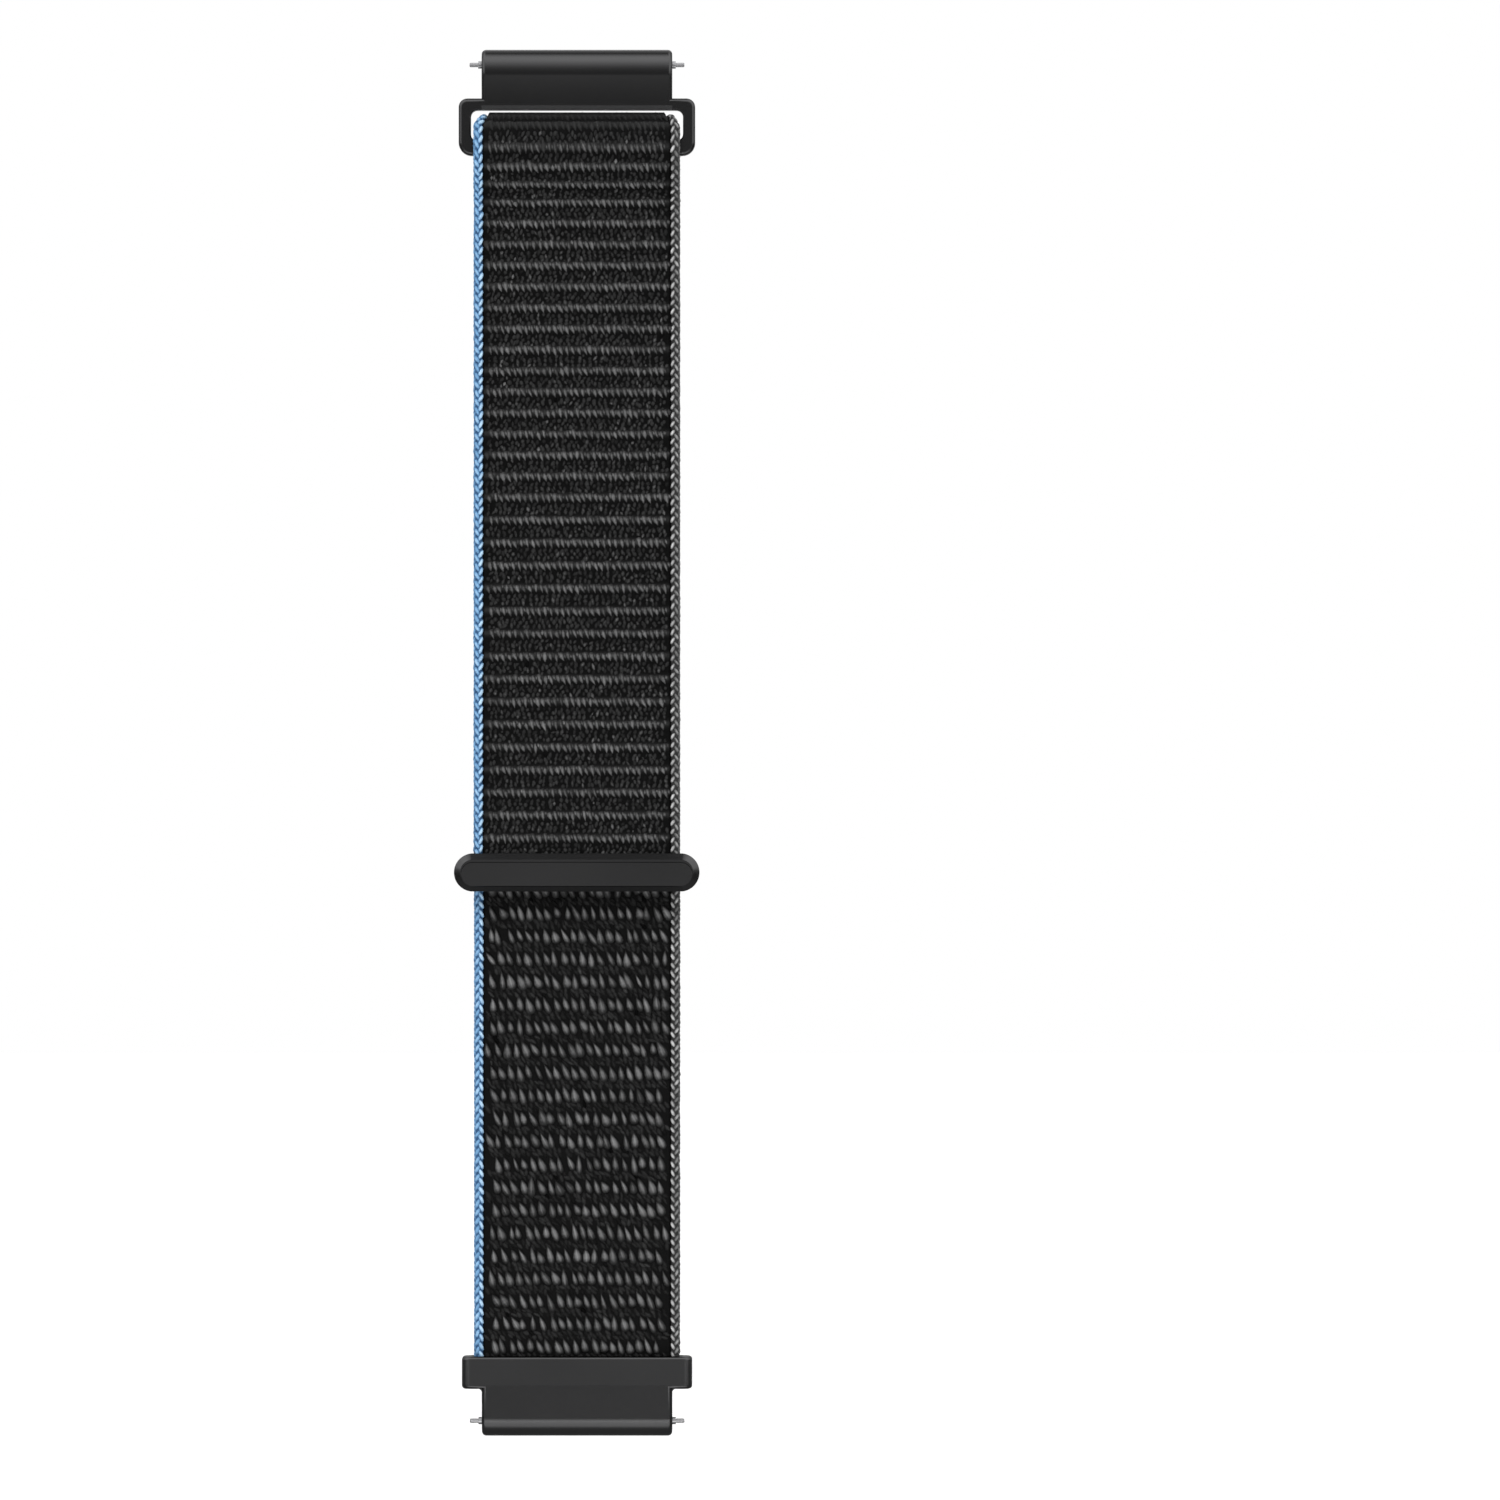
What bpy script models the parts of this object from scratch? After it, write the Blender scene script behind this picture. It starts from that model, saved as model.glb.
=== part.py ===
"""Nylon watch strap with a hook-and-loop flap, upright as it hangs from the watch's upper lugs.

X runs across the strap, -Y is the side that shows on the wrist, +Y faces the skin, +Z is up.
The origin is the middle of the upper spring bar. Blender's units are metres.
"""

import math

import bmesh
import bpy
from mathutils import Vector

MM = 0.001

# Fit to the watch
LUG_WIDTH = 22.0 * MM
BARREL_R = 1.75 * MM
WEB_THICKNESS = 2.6 * MM
BLOCK_END_ROUND = 0.5 * MM
BLOCK_FILLET_R = 0.45 * MM

# Ring of the upper adapter
RING_WIDTH = 27.3 * MM
RING_HEIGHT = 6.6 * MM
RING_DEPTH = 2.4 * MM
RING_DROP = 3.9 * MM
RING_ARM = 1.4 * MM
RING_TOP_RAIL = 1.35 * MM
RING_BOTTOM_RAIL = 1.72 * MM
RING_TOP_CORNER_R = 1.0 * MM
RING_BOTTOM_CORNER_R = 1.5 * MM
SLOT_CORNER_R = 0.75 * MM
RING_CHAMFER = 0.45 * MM
WEB_LAP = 0.95 * MM

# Woven band
BAND_WIDTH = 23.8 * MM
BAND_THICKNESS = 2.1 * MM
BAND_LENGTH = 139.5 * MM
EDGE_WIDTH = 1.2 * MM
EDGE_THICKNESS = 1.75 * MM
EDGE_GROOVE_WIDTH = 0.12 * MM
EDGE_TURN_DEGREES = 115
GROOVE_DEPTH_SHARE = 0.72
TONGUE_EDGE_SHARE = 0.1
LAYER_GAP = 0.3 * MM
LOOP_INNER_R = 2.0 * MM
LOOP_LEG = 6.3 * MM
LOOP_DRAW_IN = 0.5 * MM
LOOP_DRAW_IN_DEGREES = 48

# Flap that folds back over the front
FLAP_LENGTH = 83.6 * MM
FLAP_ROOT_DROP = 7.35 * MM
FLAP_CORE = 1.2 * MM
SEGMENT_GAP = 0.3 * MM
SHORTEST_SEGMENT = 6.0 * MM
BEND_AXIS_STAND_OFF = 0.1 * MM

# Hook tape on the flap's inner face
HOOK_COUNT = 5
HOOK_PITCH = 9.2 * MM
HOOK_HEIGHT = 6.4 * MM
HOOK_THICKNESS = 0.4 * MM
FIRST_HOOK = 6.5 * MM
TAPE_TAIL = 4.4 * MM
TAPE_THICKNESS = 0.4 * MM
TAPE_MARGIN = 0.1 * MM
HOOK_MARGIN = 0.15 * MM
BOND = 0.05 * MM

# End bar of the flap
END_BAR_WIDTH = 28.3 * MM
END_BAR_HEIGHT = 4.4 * MM
CLAMP_THICKNESS = 0.8 * MM
COVER_THICKNESS = 1.0 * MM
BAR_EDGE_BEVEL = 0.55 * MM
CLAMP_EDGE_ROUND = 0.3 * MM
BAR_PANEL_MARGIN = 0.78 * MM
BAR_PANEL_RISE = 0.12 * MM
BAR_PANEL_DROP = 0.2 * MM
BAR_FLOOR = 0.7 * MM
BAR_PEG_R = 0.5 * MM
BAR_PEG_DEPTH = 0.6 * MM

# Lower adapter
WING_WIDTH = 26.6 * MM
WING_HEIGHT = 3.75 * MM
WING_DEPTH = 4.2 * MM
WING_SEAM = 0.05 * MM
WING_CORNER_R = 0.9 * MM
WING_EDGE_ROUND = 0.4 * MM
WING_LAP = 0.6 * MM
LOWER_BAR_DROP = 7.5 * MM
CHANNEL_WIDTH = 24.4 * MM
CHANNEL_R = 1.45 * MM
CHANNEL_DROP = 1.8 * MM
BAND_ENTRY_CLEARANCE = 0.12 * MM
BAND_BEAD_R = 1.3 * MM
ROD_R = 0.45 * MM
ROD_INSET = 0.2 * MM

# Quick-release spring bars
BAR_BORE_R = 0.85 * MM
TUBE_R = 0.75 * MM
TUBE_BORE_R = 0.56 * MM
TUBE_INSET = 0.1 * MM
TUBE_CRIMP = 0.5 * MM
SHOULDER_R = 0.42 * MM
SHOULDER_REACH = 0.4 * MM
TIP_R = 0.25 * MM
TIP_REACH = 1.4 * MM
TIP_CHAMFER = 0.08 * MM
PIN_HEAD_R = 0.5 * MM
PIN_HEAD_LENGTH = 1.6 * MM
PIN_TRAVEL = 1.3 * MM
PEG_R = 0.25 * MM
KNOB_WIDTH = 1.8 * MM
KNOB_HEIGHT = 1.3 * MM
KNOB_THICKNESS = 0.6 * MM
KNOB_ROUND = 0.2 * MM
KNOB_CORNER_R = 0.43 * MM
SPRING_LENGTH = 9.6 * MM
SPRING_COIL_R = 0.36 * MM
SPRING_WIRE_R = 0.09 * MM
SPRING_TURNS = 12

# Clearances and counts
RUNNING_GAP = 0.05 * MM
WELD_DISTANCE = 0.001 * MM
PEG_CLEARANCE = 0.08 * MM
OVERRUN = 1.0 * MM
LOOP_STEPS = 14
LEG_STEPS = 6
ROUND_SIDES = 16
CORNER_STEPS = 4
POINTS_PER_TURN = 8

# Places worked out from the sizes above
RAIL_Z = -(RING_DROP + RING_HEIGHT - RING_BOTTOM_RAIL / 2)
LAYER_Y = (LAYER_GAP + BAND_THICKNESS) / 2
LOOP_R = LOOP_INNER_R + BAND_THICKNESS / 2
FLAP_ROOT_Z = RAIL_Z - FLAP_ROOT_DROP
END_BAR_Z = RAIL_Z - FLAP_LENGTH
WING_TOP_Z = RAIL_Z - BAND_LENGTH
LOWER_BAR_Z = WING_TOP_Z - LOWER_BAR_DROP
CHANNEL_Z = WING_TOP_Z - CHANNEL_DROP
TAPE_TOP_Z = END_BAR_Z + FIRST_HOOK + (HOOK_COUNT - 1) * HOOK_PITCH + HOOK_HEIGHT / 2 + TAPE_TAIL
CURL_PITCH = 2 * HOOK_PITCH
FIELD_WIDTH = BAND_WIDTH - 2 * EDGE_WIDTH
CORE_SETBACK = BAND_THICKNESS - FLAP_CORE


def clear_scene():
    for obj in list(bpy.data.objects):
        bpy.data.objects.remove(obj, do_unlink=True)


def material(name, color, roughness, metallic=0.0):
    made = bpy.data.materials.new(name)
    made.use_nodes = True
    shader = made.node_tree.nodes["Principled BSDF"]
    shader.inputs["Base Color"].default_value = (*color, 1.0)
    shader.inputs["Roughness"].default_value = roughness
    shader.inputs["Metallic"].default_value = metallic
    return made


def axis_empty(name, y, z, parent=None):
    """An empty on a joint's axis. Its children's places are measured from it."""
    empty = bpy.data.objects.new(name, None)
    bpy.context.collection.objects.link(empty)
    place = Vector((0, y, z))
    empty["place"] = place
    empty.parent = parent
    empty.location = place - Vector(parent["place"]) if parent else place
    return empty


def node(name, bm, finish, body):
    """The object of one piece: bm is in world places, and the mesh ends up about its body's empty."""
    bmesh.ops.remove_doubles(bm, verts=bm.verts, dist=WELD_DISTANCE)
    bmesh.ops.recalc_face_normals(bm, faces=bm.faces)
    bmesh.ops.translate(bm, verts=bm.verts, vec=-Vector(body["place"]))
    mesh = bpy.data.meshes.new(name)
    bm.to_mesh(mesh)
    bm.free()
    mesh.shade_smooth()
    mesh.set_sharp_from_angle(angle=math.radians(35))
    obj = bpy.data.objects.new(name, mesh)
    bpy.context.collection.objects.link(obj)
    obj.parent = body
    for one in finish if isinstance(finish, list) else [finish]:
        mesh.materials.append(one)
    return obj


def boolean(obj, operation, other):
    other.hide_render = True
    other.display_type = "WIRE"
    step = obj.modifiers.new(other.name, "BOOLEAN")
    step.operation = operation
    step.solver = "EXACT"
    step.object = other


def cut(obj, other):
    boolean(obj, "DIFFERENCE", other)


def join(obj, other):
    boolean(obj, "UNION", other)


def arc(cx, cy, radius, start, end, steps):
    """Points on a round arc, with its angles in degrees."""
    turns = [math.radians(start + (end - start) * i / steps) for i in range(steps + 1)]
    return [(cx + radius * math.cos(a), cy + radius * math.sin(a)) for a in turns]


def rounded_outline(left, right, low, high, low_r, high_r, steps=CORNER_STEPS):
    """A rectangle's outline with round corners, anticlockwise from the lower right one."""
    return (
        arc(right - low_r, low + low_r, low_r, -90, 0, steps)
        + arc(right - high_r, high - high_r, high_r, 0, 90, steps)
        + arc(left + high_r, high - high_r, high_r, 90, 180, steps)
        + arc(left + low_r, low + low_r, low_r, 180, 270, steps)
    )


def pill_outline(width, height, inset, z, steps):
    """A stadium's outline about height z, drawn in by inset."""
    radius = height / 2 - inset
    centre = width / 2 - height / 2
    return arc(centre, z, radius, -90, 90, steps) + arc(-centre, z, radius, 90, 270, steps)


def rounded_levels(face, inward, radius):
    """(level, inset) pairs of a round edge that ends flush with face, with the solid on the inward side."""
    return [
        (face + inward * (radius - sin), radius - cos)
        for cos, sin in arc(0, 0, radius, 0, 90, CORNER_STEPS // 2)
    ]


def loft(bm, rings, closed=False):
    """Faces between rings of equal counts, with end caps where the run isn't closed."""
    made = [[bm.verts.new(point) for point in ring] for ring in rings]
    pairs = list(zip(made, made[1:]))
    if closed:
        pairs.append((made[-1], made[0]))
    else:
        bm.faces.new(made[0])
        bm.faces.new(made[-1])
    for first, second in pairs:
        for i in range(len(first)):
            j = (i + 1) % len(first)
            bm.faces.new((first[i], first[j], second[j], second[i]))
    return bm


def prism_x(outline_yz, left, right):
    """A solid whose side profile is outline_yz, from x = left to x = right."""
    return loft(bmesh.new(), [[(x, y, z) for y, z in outline_yz] for x in (left, right)])


def prism_y(outline_xz, front, back):
    return loft(bmesh.new(), [[(x, y, z) for x, z in outline_xz] for y in (front, back)])


def round_ends(bm, half_width, width):
    """Rounds the outline edges of both end faces of a prism along X."""
    ends = [e for e in bm.edges if all(abs(v.co.x) > half_width - WELD_DISTANCE for v in e.verts)]
    bmesh.ops.bevel(
        bm, geom=ends, offset=width, offset_type="OFFSET", segments=2, profile=0.5,
        affect="EDGES", clamp_overlap=True,
    )
    return bm


def turned_x(profile, y, z, sides=ROUND_SIDES):
    """A solid turned about the line along X through y, z. The profile holds (x, radius) points."""
    bm = bmesh.new()
    verts = [bm.verts.new((x, y + radius, z)) for x, radius in profile]
    edges = [bm.edges.new(pair) for pair in zip(verts, verts[1:])]
    bmesh.ops.spin(
        bm, geom=verts + edges, cent=(0, y, z), axis=(1, 0, 0), dvec=(0, 0, 0),
        angle=math.tau, steps=sides, use_merge=True,
    )
    bmesh.ops.remove_doubles(bm, verts=bm.verts, dist=WELD_DISTANCE)
    return bm


def cylinder_x(radius, left, right, y, z, sides=ROUND_SIDES):
    return turned_x([(left, 0), (left, radius), (right, radius), (right, 0)], y, z, sides)


def cylinder_y(radius, x, z, front, back, sides=ROUND_SIDES):
    outline = arc(x, z, radius, 0, 360 - 360 / sides, sides - 1)
    return prism_y(outline, front, back)


def helper(name, bm, body):
    return node(name, bm, [], body)


# The woven band: its section across, its route over the rail, and its cut into bending lengths


def band_section(front, back, edge_share=1.0, draw_in=0.0):
    """Points (x, v) of the band's section. v runs towards the ribbed face, whose height is front."""
    groove = FIELD_WIDTH / 2 - draw_in
    field = groove - EDGE_GROOVE_WIDTH
    edge_half = EDGE_WIDTH / 2 * edge_share
    centre = groove + edge_half
    bead = [
        (centre + edge_half * cos, EDGE_THICKNESS / 2 * edge_share * sin)
        for cos, sin in arc(0, 0, 1, EDGE_TURN_DEGREES, -EDGE_TURN_DEGREES, CORNER_STEPS)
    ]
    right = [
        (field, front), (groove, front * GROOVE_DEPTH_SHARE),
        *bead,
        (groove, back * GROOVE_DEPTH_SHARE), (field, back),
    ]
    return right + [(-x, v) for x, v in reversed(right)]


def station(y, z, lean=0.0, section=None):
    """A ring of the band about y, z, whose ribbed face points along the angle lean in the YZ plane."""
    out_y, out_z = math.cos(lean), math.sin(lean)
    return [(x, y + out_y * v, z + out_z * v) for x, v in section]


def full_section(draw_in=0.0):
    return band_section(BAND_THICKNESS / 2, -BAND_THICKNESS / 2, draw_in=draw_in)


def loop_draw_in(y, z):
    """How far each edge draws in at a place on the loop: the slot's round corners narrow it at the top."""
    off_top = abs(math.degrees(math.atan2(y, z - RAIL_Z))) / LOOP_DRAW_IN_DEGREES
    return LOOP_DRAW_IN * (1 + math.cos(math.pi * min(off_top, 1))) / 2


def leg_stations(side):
    """The band's leg on one side of the rail, from below the rail up to it, at each step's lean."""
    found = []
    spread = LOOP_R - LAYER_Y
    for i in range(LEG_STEPS):
        t = i / LEG_STEPS
        y = LAYER_Y + spread * (1 - math.cos(math.pi * t)) / 2
        slope = spread * math.pi / 2 * math.sin(math.pi * t) / LOOP_LEG
        lean = -math.atan(slope)
        z = RAIL_Z - LOOP_LEG * (1 - t)
        found.append((y, z, lean) if side > 0 else (-y, z, math.pi - lean))
    return found


def loop_stations():
    """The band's route from the back layer, over the rail and down to the flap's root."""
    turn = [
        (LOOP_R * math.cos(a), RAIL_Z + LOOP_R * math.sin(a), a)
        for a in (math.pi * i / LOOP_STEPS for i in range(LOOP_STEPS + 1))
    ]
    return leg_stations(1) + turn + leg_stations(-1)[::-1]


def colour_edges(obj):
    """The selvedges carry their own yarn colours: the second material at -X, the third at +X."""
    for face in obj.data.polygons:
        x = face.center.x
        is_end_cap = len(face.vertices) > 4
        if abs(x) > FIELD_WIDTH / 2 - LOOP_DRAW_IN and not is_end_cap:
            face.material_index = 1 if x < 0 else 2


def band_piece(name, rings, finish, body):
    obj = node(name, loft(bmesh.new(), rings), finish, body)
    colour_edges(obj)
    return obj


def straight_piece(name, top, bottom, side, finish, body):
    """One flat length of the band, in the back layer where side is 1 and in the flap where it is -1."""
    lean = 0.0 if side > 0 else math.pi
    rings = [station(side * LAYER_Y, z, lean, full_section()) for z in (top, bottom)]
    return band_piece(name, rings, finish, body)


def loop_piece(finish, body, bottom):
    """The first length: the back layer's top, the turn over the rail and the flap's root."""
    route = (
        [(LAYER_Y, bottom, 0.0)]
        + loop_stations()
        + [(-LAYER_Y, FLAP_ROOT_Z + SEGMENT_GAP / 2, math.pi)]
    )
    rings = [station(y, z, lean, full_section(loop_draw_in(y, z))) for y, z, lean in route]
    return band_piece("band_loop", rings, finish, body)


def flap_piece(name, top, bottom, finish, body):
    """One length of the flap, thinned on its inner face where the hook tape lies."""
    thick = full_section()
    thin = band_section(BAND_THICKNESS / 2, CORE_SETBACK - BAND_THICKNESS / 2)
    step = RUNNING_GAP
    if bottom > TAPE_TOP_Z:
        levels = [(top, thick), (bottom, thick)]
    elif top > TAPE_TOP_Z:
        levels = [(top, thick), (TAPE_TOP_Z + step, thick), (TAPE_TOP_Z, thin), (bottom, thin)]
    else:
        levels = [(top, thin), (bottom, thin)]
    if bottom < END_BAR_Z:
        tongue = band_section(BAND_THICKNESS / 2, CORE_SETBACK - BAND_THICKNESS / 2, TONGUE_EDGE_SHARE)
        mouth = END_BAR_Z + END_BAR_HEIGHT / 2 + RUNNING_GAP
        levels = [(top, thin), (mouth + step, thin), (mouth, tongue), (bottom, tongue)]
    rings = [station(-LAYER_Y, z, math.pi, section) for z, section in levels]
    return band_piece(name, rings, finish, body)


def bend_lines():
    """Heights at which the strap bends, two hook pitches apart, and how many of them cross the flap."""
    lowest_on_flap = END_BAR_Z + FIRST_HOOK + HOOK_PITCH / 2
    above = int((FLAP_ROOT_Z - SHORTEST_SEGMENT - lowest_on_flap) / CURL_PITCH)
    below = int((lowest_on_flap - WING_TOP_Z - SHORTEST_SEGMENT) / CURL_PITCH)
    lines = [lowest_on_flap + CURL_PITCH * k for k in range(above, -below - 1, -1)]
    return lines, above + 1


# The hook tape and its five patches


def hook_tape(index, top, bottom, finish, body):
    high = min(top, TAPE_TOP_Z)
    low = max(bottom, END_BAR_Z + END_BAR_HEIGHT / 2 + LAYER_GAP / 2)
    half = FIELD_WIDTH / 2 - EDGE_GROOVE_WIDTH - TAPE_MARGIN
    front = -LAYER_Y + BAND_THICKNESS / 2 - CORE_SETBACK + BOND
    outline = [(-half, low), (half, low), (half, high), (-half, high)]
    return node(f"hook_tape_{index}", prism_y(outline, front, front + TAPE_THICKNESS), finish, body)


def hook_patch(index, z, finish, body):
    width = FIELD_WIDTH - 2 * (EDGE_GROOVE_WIDTH + TAPE_MARGIN + HOOK_MARGIN)
    back = -LAYER_Y + BAND_THICKNESS / 2
    outline = pill_outline(width, HOOK_HEIGHT, 0, z, 2 * CORNER_STEPS)
    return node(f"hook_patch_{index}", prism_y(outline, back - HOOK_THICKNESS, back), finish, body)


# Adapters: a barrel for the spring bar with a web that carries the strap


def block_profile(y, z, web_end, half, side):
    """Side profile of a lug block: a barrel about y, z and flanks to web_end, which lie half off the middle."""
    reach = abs(web_end - z)
    lean = math.degrees(math.asin(BARREL_R / math.hypot(reach, half))) - math.degrees(math.atan2(half, reach))
    turn = arc(y, z, BARREL_R, -lean, 180 + lean, 3 * CORNER_STEPS)
    if side < 0:
        turn = [(py, 2 * z - pz) for py, pz in turn]
    return turn + [(y - half, web_end), (y + half, web_end)]


def knob_x():
    """Where the release peg sits along the bar: near the inner end of the pin's head."""
    head_start = LUG_WIDTH / 2 - TUBE_INSET - TUBE_CRIMP - RUNNING_GAP
    return head_start - PIN_HEAD_LENGTH + 2 * PEG_R


def peg_slot(name, y, z, front, back, body):
    """The slot that the release peg runs in, as long as its travel."""
    half = PEG_R + PEG_CLEARANCE
    left, right = knob_x() - PIN_TRAVEL - half, knob_x() + half
    outline = [(left, z - half), (right, z - half), (right, z + half), (left, z + half)]
    return helper(name, prism_y(outline, y + front, y + back), body)


def bore(name, radius, half_length, y, z, body):
    return helper(name, cylinder_x(radius, -half_length, half_length, y, z), body)


def ring_frame():
    """The ring: one chamfered section carried round between its outer and inner outlines."""
    top, bottom = -RING_DROP, -RING_DROP - RING_HEIGHT
    half = RING_WIDTH / 2
    outer = rounded_outline(-half, half, bottom, top, RING_BOTTOM_CORNER_R, RING_TOP_CORNER_R)
    inner = rounded_outline(
        RING_ARM - half, half - RING_ARM, bottom + RING_BOTTOM_RAIL, top - RING_TOP_RAIL,
        SLOT_CORNER_R, SLOT_CORNER_R,
    )
    rings = []
    for (ox, oz), (ix, iz) in zip(outer, inner):
        across = Vector((ox - ix, 0, oz - iz))
        share = RING_CHAMFER / across.length
        front = RING_DEPTH / 2
        face = front - RING_CHAMFER
        section = [
            (0, -face), (share, -front), (1 - share, -front), (1, -face),
            (1, face), (1 - share, front), (share, front), (0, face),
        ]
        rings.append([Vector((ix, y, iz)) + across * s for s, y in section])
    return loft(bmesh.new(), rings, closed=True)


def ring_adapter(finish, body):
    obj = node("ring_adapter", ring_frame(), finish, body)
    half = LUG_WIDTH / 2
    profile = block_profile(0, 0, -RING_DROP - WEB_LAP, WEB_THICKNESS / 2, 1)
    block = prism_x(profile, -half, half)
    join(obj, helper("ring_adapter_block", round_ends(block, half, BLOCK_END_ROUND), body))
    cut(obj, bore("ring_adapter_bore", BAR_BORE_R, half + OVERRUN, 0, 0, body))
    cut(obj, peg_slot("ring_adapter_peg_slot", 0, 0, 0, BARREL_R + OVERRUN, body))
    return obj


def channel_profile():
    """The lower adapter's channel: a mouth for the band over a round seat for its sewn bead."""
    half_mouth = BAND_THICKNESS / 2 + BAND_ENTRY_CLEARANCE
    meet = math.degrees(math.acos(half_mouth / CHANNEL_R))
    seat = arc(LAYER_Y, CHANNEL_Z, CHANNEL_R, 180 - meet, 360 + meet, 3 * CORNER_STEPS)
    top = WING_TOP_Z + OVERRUN
    return seat + [(LAYER_Y + half_mouth, top), (LAYER_Y - half_mouth, top)]


def wings():
    """The wings: one rounded plan outline, drawn in round the top and bottom edges."""
    low, high = WING_TOP_Z - WING_HEIGHT, WING_TOP_Z
    rings = []
    for z, inset in rounded_levels(low, 1, WING_EDGE_ROUND)[::-1] + rounded_levels(high, -1, WING_EDGE_ROUND):
        half, depth, radius = WING_WIDTH / 2 - inset, WING_DEPTH / 2 - inset, WING_CORNER_R - inset
        outline = rounded_outline(-half, half, LAYER_Y - depth, LAYER_Y + depth, radius, radius)
        rings.append([(x, y, z) for x, y in outline])
    return loft(bmesh.new(), rings)


def wing_fillet(side):
    """The hollow fillet in the corner between a wing's underside and the block's end."""
    low, end = WING_TOP_Z - WING_HEIGHT, LUG_WIDTH / 2
    hollow = arc(end + BLOCK_FILLET_R, low - BLOCK_FILLET_R, BLOCK_FILLET_R, 90, 180, CORNER_STEPS)
    outline = hollow + [
        (end - WING_LAP, low - BLOCK_FILLET_R), (end - WING_LAP, low + WING_LAP),
        (end + BLOCK_FILLET_R, low + WING_LAP),
    ]
    depth = BARREL_R - BLOCK_END_ROUND
    return prism_y([(side * x, z) for x, z in outline], LAYER_Y - depth, LAYER_Y + depth)


def fixed_adapter(finish, body):
    half_wing, half = WING_WIDTH / 2, LUG_WIDTH / 2
    obj = node("fixed_adapter", wings(), finish, body)
    web_end = WING_TOP_Z - WING_HEIGHT + WING_LAP
    profile = block_profile(LAYER_Y, LOWER_BAR_Z, web_end, WING_DEPTH / 2 - WING_SEAM, -1)
    block = prism_x(profile, -half, half)
    join(obj, helper("fixed_adapter_block", round_ends(block, half, BLOCK_END_ROUND), body))
    for name, side in (("left", -1), ("right", 1)):
        join(obj, helper(f"fixed_adapter_fillet_{name}", wing_fillet(side), body))
    channel = prism_x(channel_profile(), -CHANNEL_WIDTH / 2, CHANNEL_WIDTH / 2)
    cut(obj, helper("fixed_adapter_channel", channel, body))
    rod_hole = ROD_R + RUNNING_GAP
    cut(obj, bore("fixed_adapter_rod_hole", rod_hole, half_wing + OVERRUN, LAYER_Y, CHANNEL_Z, body))
    cut(obj, bore("fixed_adapter_bore", BAR_BORE_R, half + OVERRUN, LAYER_Y, LOWER_BAR_Z, body))
    cut(obj, peg_slot("fixed_adapter_peg_slot", LAYER_Y, LOWER_BAR_Z, 0, BARREL_R + OVERRUN, body))
    return obj


def retaining_rod(finish, body):
    half = WING_WIDTH / 2 - ROD_INSET
    rod = turned_x(
        [(-half, 0), (-half, ROD_R - TIP_CHAMFER), (TIP_CHAMFER - half, ROD_R),
         (half - TIP_CHAMFER, ROD_R), (half, ROD_R - TIP_CHAMFER), (half, 0)],
        LAYER_Y, CHANNEL_Z,
    )
    return node("retaining_rod", rod, finish, body)


def sew_bead(last_length, body):
    """The last length of the band ends in a sewn bead round the retaining rod."""
    half = BAND_WIDTH / 2
    bead = cylinder_x(BAND_BEAD_R, -half, half, LAYER_Y, CHANNEL_Z)
    join(last_length, helper("band_bead", bead, body))
    tunnel_r = ROD_R + RUNNING_GAP
    cut(last_length, bore("band_bead_tunnel", tunnel_r, half + OVERRUN, LAYER_Y, CHANNEL_Z, body))


# Quick-release spring bars


def bar_tube(name, y, z, finish, body):
    """A tube with a fixed tip at -X and a crimped mouth for the sliding pin at +X."""
    block, mouth = LUG_WIDTH / 2, LUG_WIDTH / 2 - TUBE_INSET
    profile = [
        (-block - TIP_REACH, 0), (-block - TIP_REACH, TIP_R - TIP_CHAMFER),
        (-block - TIP_REACH + TIP_CHAMFER, TIP_R), (-block - SHOULDER_REACH, TIP_R),
        (-block - SHOULDER_REACH, SHOULDER_R), (-mouth, SHOULDER_R), (-mouth, TUBE_R),
        (mouth, TUBE_R), (mouth, SHOULDER_R + RUNNING_GAP),
        (mouth - TUBE_CRIMP, SHOULDER_R + RUNNING_GAP), (mouth - TUBE_CRIMP, TUBE_BORE_R),
        (spring_stop_x() - RUNNING_GAP, TUBE_BORE_R), (spring_stop_x() - RUNNING_GAP, 0),
    ]
    tube = node(name, turned_x(profile, y, z), finish, body)
    cut(tube, peg_slot(f"{name}_slot", y, z, 0, TUBE_R + OVERRUN, body))
    return tube


def pin_head_end_x():
    return LUG_WIDTH / 2 - TUBE_INSET - TUBE_CRIMP - RUNNING_GAP - PIN_HEAD_LENGTH


def spring_stop_x():
    return pin_head_end_x() - RUNNING_GAP - SPRING_LENGTH


def bar_pin(name, y, z, finish, body):
    block = LUG_WIDTH / 2
    head = pin_head_end_x()
    profile = [
        (head, 0), (head, PIN_HEAD_R), (head + PIN_HEAD_LENGTH, PIN_HEAD_R),
        (head + PIN_HEAD_LENGTH, SHOULDER_R), (block + SHOULDER_REACH, SHOULDER_R),
        (block + SHOULDER_REACH, TIP_R), (block + TIP_REACH - TIP_CHAMFER, TIP_R),
        (block + TIP_REACH, TIP_R - TIP_CHAMFER), (block + TIP_REACH, 0),
    ]
    pin = node(name, turned_x(profile, y, z), finish, body)
    hole = cylinder_y(PEG_R + RUNNING_GAP, knob_x(), z, y - OVERRUN, y + OVERRUN)
    cut(pin, helper(f"{name}_peg_hole", hole, body))
    return pin


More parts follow.
